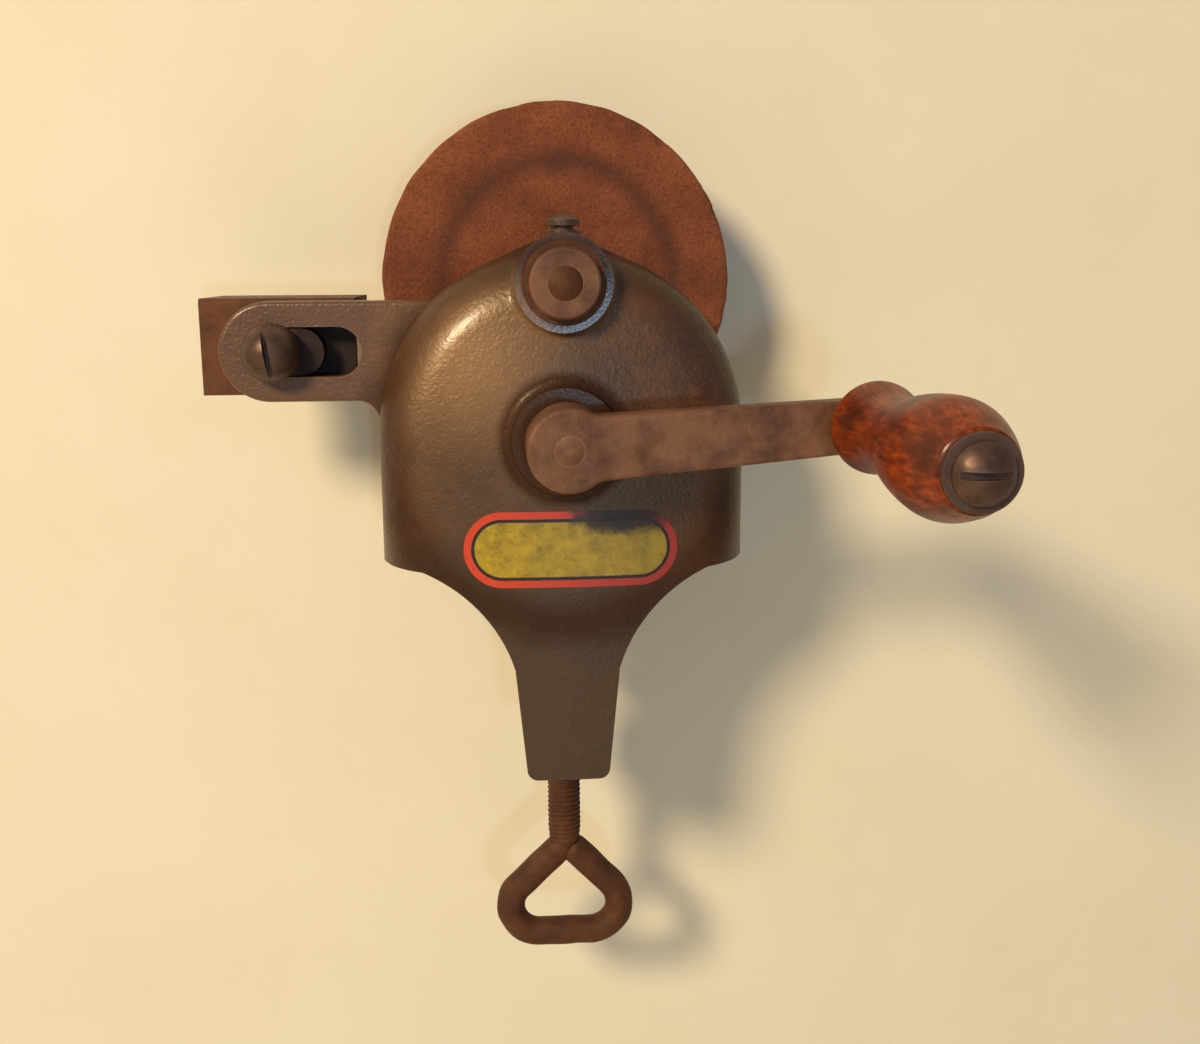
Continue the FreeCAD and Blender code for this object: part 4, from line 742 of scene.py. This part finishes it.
def transfer_shape(shape):
    """Columns of five points from end to end of the oval, closer together at its round ends."""
    columns = []
    for number in range(TRANSFER_COLUMNS + 1):
        aside = -TRANSFER_HALF * math.cos(math.pi * number / TRANSFER_COLUMNS)
        x = TRANSFER_X + aside
        beyond = max(0, abs(aside) - (TRANSFER_HALF - TRANSFER_RADIUS))
        half = math.sqrt(max(TRANSFER_RADIUS ** 2 - beyond ** 2, 0.0004))
        heights = [TRANSFER_Z + half * part for part in (-1, -0.5, 0, 0.5, 1)]
        columns.append([shape.verts.new(Vector((x, crown(x) - TRANSFER_LIFT, z)) * MM) for z in heights])
    for column, following in zip(columns, columns[1:]):
        for low in range(4):
            shape.faces.new((column[low], following[low], following[low + 1], column[low + 1]))


print("transfer is", 2 * TRANSFER_HALF, "mm long and", 2 * TRANSFER_RADIUS, "mm high")

# %% [markdown]
# ## Print of the transfer
# From its middle line outwards the oval has a gold centre, a black line and a red border, each with
# a ragged edge. Painted light makes its left side brighter than its right.

# %% Transfer print
BLACK_FROM = 7.35
BLACK_FULL = 7.5
RED_FROM = 8.25
RED_FULL = 8.4
# A long dark patch at the upper right of the oval.
DARK_PATCH_X = 15
DARK_PATCH_Z = 22.2
DARK_PATCH_FLATNESS = 0.36
DARK_PATCH_EDGE = 6
DARK_PATCH_HEART = 3.6


def from_middle_line(finish, parts):
    """Distance from the oval's middle line, a little ragged."""
    straight = (TRANSFER_HALF - TRANSFER_RADIUS) * MM
    aside = finish.math("ABSOLUTE", finish.math("SUBTRACT", parts["X"], TRANSFER_X * MM))
    beyond = finish.math("MAXIMUM", finish.math("SUBTRACT", aside, straight), 0)
    up = finish.math("SUBTRACT", parts["Z"], TRANSFER_Z * MM)
    ragged = finish.wander(finish.noise(0.8, 3, 0.6), 0.15)
    return finish.math("ADD", finish.far_from(beyond, up), ragged)


def oval_colours(finish, parts):
    """Gold centre, black line and red border, with painted light: brighter to the left, duller to the
    right.
    """
    reach = from_middle_line(finish, parts)
    # Painted light: brighter colours to the left, duller to the right.
    painted_light_leftwards = finish.between(parts["X"], 20 * MM, -20 * MM)
    gold = finish.ramp(finish.noise(4.5, 5, 0.75), [(0.3, (0.170, 0.118, 0.006)),
                                                    (0.5, (0.330, 0.225, 0.010)),
                                                    (0.68, (0.460, 0.305, 0.016))])
    olive = finish.mix(0.5, gold, (0.130, 0.110, 0.034))
    centre = finish.mix(painted_light_leftwards, olive, gold)
    red = finish.mix(painted_light_leftwards, (0.27, 0.027, 0.022), (0.54, 0.046, 0.014))
    black = finish.between(reach, BLACK_FROM * MM, BLACK_FULL * MM)
    lined = finish.mix(black, centre, (0.016, 0.01, 0.008))
    return finish.mix(finish.between(reach, RED_FROM * MM, RED_FULL * MM), lined, red)


def darkened_upper_right(finish, parts, colour):
    """The colour with a long dark patch at the upper right, and dark specks all over."""
    aside = finish.math("MULTIPLY", finish.math("SUBTRACT", parts["X"], DARK_PATCH_X * MM), DARK_PATCH_FLATNESS)
    up = finish.math("SUBTRACT", parts["Z"], DARK_PATCH_Z * MM)
    ragged = finish.wander(finish.noise(4, 4, 0.7), 3)
    reach = finish.math("ADD", finish.far_from(aside, up), ragged)
    dark_patch = finish.between(reach, DARK_PATCH_EDGE * MM, DARK_PATCH_HEART * MM, 0, 0.93)
    specks = finish.between(finish.noise(1.0, 4, 0.7), 0.6, 0.72, 0, 0.75)
    return finish.mix(specks, finish.mix(dark_patch, colour, (0.026, 0.015, 0.012)), (0.05, 0.03, 0.015))


def transfer_print():
    """The printed paper under its worn varnish."""
    finish = Finish("printed_transfer")
    parts = finish.axes()
    colour = darkened_upper_right(finish, parts, oval_colours(finish, parts))
    lumps = finish.bump(finish.noise(2.4, 2, 0.5), 0.2, 0.4)
    return finish.done(colour, 0.42, normal=lumps, coat=0.12, coat_roughness=0.22, specular=0.35)


transfer = new_piece("case_transfer", transfer_shape, transfer_print(), "housing")
print("transfer has", len(transfer.data.vertices), "points")

# %% [markdown]
# ## Pale sweep
# Behind the grinder stands a pale surface, right behind the wheel nut. It is a sweep: a wall that
# bends into a floor out of the camera's sight. It throws no shadow itself, and from behind it is
# clear, so the back of the grinder can be looked at too. The gap in front of it is in millimetres
# and its other sizes are in metres.

# %% Sweep
WALL_GAP = 0.4
SWEEP_BEND = 0.16
SWEEP_LOW = -0.42
SWEEP_SIZE = 5.0
SWEEP_STEPS = 16


def sweep_shape(shape):
    """Wall, bend and floor as one strip of faces that look at the camera."""
    wall = cad_box[1].y + WALL_GAP * MM
    profile = [(wall, SWEEP_SIZE)]
    for number in range(SWEEP_STEPS + 1):
        angle = math.pi / 2 * number / SWEEP_STEPS
        profile.append((wall - SWEEP_BEND * (1 - math.cos(angle)),
                        SWEEP_LOW + SWEEP_BEND * (1 - math.sin(angle))))
    profile.append((-SWEEP_SIZE, SWEEP_LOW))
    rows = [[shape.verts.new((x, y, z)) for x in (-SWEEP_SIZE, SWEEP_SIZE)] for y, z in profile]
    for row, following in zip(rows, rows[1:]):
        shape.faces.new((row[0], following[0], following[1], row[1]))


def pale_card():
    """Seen and lit from its front only: clear from behind and to shadow rays."""
    finish = Finish("pale_card")
    shade = finish.ramp(finish.noise(60, 4, 0.6), [(0.3, (0.735, 0.66, 0.50)), (0.7, (0.765, 0.69, 0.54))])
    finish.done(shade, 0.9, specular=0.1)
    behind = finish.add("ShaderNodeNewGeometry").outputs["Backfacing"]
    shadow = finish.add("ShaderNodeLightPath").outputs["Is Shadow Ray"]
    clear = finish.add("ShaderNodeBsdfTransparent").outputs["BSDF"]
    mixed = finish.add("ShaderNodeMixShader", Fac=finish.math("MAXIMUM", behind, shadow))
    finish.feed(mixed.inputs[1], finish.shader.outputs["BSDF"])
    finish.feed(mixed.inputs[2], clear)
    finish.feed(finish.tree.nodes["Material Output"].inputs["Surface"], mixed.outputs["Shader"])
    return finish.material


card = new_object("pale_sweep", sweep_shape, pale_card())
print("sweep faces the camera:", card.data.polygons[0].normal.y < 0)

# %% [markdown]
# ## Light
# One warm lamp on the upper left makes the sheen and the shadows. One small cool lamp beyond the
# camera gives the flat rings round cap and crank a cool glint, and a third, weak one lights the
# back. The dim blue of the room fills the shadows. Places and sizes are in metres.

# %% Lamps and room
ROOM_COLOUR = (0.56, 0.71, 1.0, 1)
ROOM_STRENGTH = 0.3


def lamp(name, place, aim, size, watts, colour):
    """A round lamp of this size that looks from its place at its aim."""
    light = bpy.data.lights.new(name, "AREA")
    light.shape = "DISK"
    light.size = size
    light.energy = watts
    light.color = colour
    holder = bpy.data.objects.new(name, light)
    bpy.context.collection.objects.link(holder)
    holder.location = place
    holder.rotation_euler = (Vector(aim) - Vector(place)).to_track_quat("-Z", "Y").to_euler()


def room():
    """The world round the grinder, one even colour."""
    world = bpy.data.worlds.new("pale_room")
    bpy.context.scene.world = world
    world.use_nodes = True
    background = world.node_tree.nodes["Background"]
    background.inputs["Color"].default_value = ROOM_COLOUR
    background.inputs["Strength"].default_value = ROOM_STRENGTH


room()
lamp("warm_key", place=(-0.85, -1.25, 0.84), aim=(0, 0, 0.04), size=0.4, watts=30, colour=(1.0, 0.82, 0.54))
lamp("cool_window", place=(0.079, -0.928, 0.008), aim=(0, 0, 0.06), size=0.05, watts=1.0,
     colour=(0.45, 0.72, 1.0))
lamp("rear_fill", place=(-0.5, 0.9, 0.4), aim=(0, 0, 0.05), size=0.9, watts=3, colour=(1.0, 0.95, 0.88))
print("three lamps and a pale room")

# %% [markdown]
# ## Camera
# The camera's place was worked out from the wheel and the bosses in the photograph. It stands
# some 370 mm in front of the frame's origin, a little to the left, and looks slightly down and to
# the right. Its turns are in radians.

# %% Camera
SENSOR_WIDTH = 36
LENS = 38.77
CAMERA_PLACE = (-16.3, -368.2, 87.7)
TURN_TO_RIGHT = 0.075
LOOK_DOWN = 0.197
ROLL = -0.005

camera_data = bpy.data.cameras.new("camera")
camera = bpy.data.objects.new("camera", camera_data)
bpy.context.collection.objects.link(camera)
camera_data.sensor_width = SENSOR_WIDTH
camera_data.lens = LENS
heading = Matrix.Rotation(-TURN_TO_RIGHT, 4, "Z")
tilt = Matrix.Rotation(math.pi / 2 - LOOK_DOWN, 4, "X")
roll = Matrix.Rotation(ROLL, 4, "Z")
camera.matrix_world = Matrix.Translation(Vector(CAMERA_PLACE) * MM) @ heading @ tilt @ roll
bpy.context.scene.camera = camera
bpy.context.scene.view_settings.view_transform = "Standard"
print("camera at", [round(c / MM, 1) for c in camera.location])
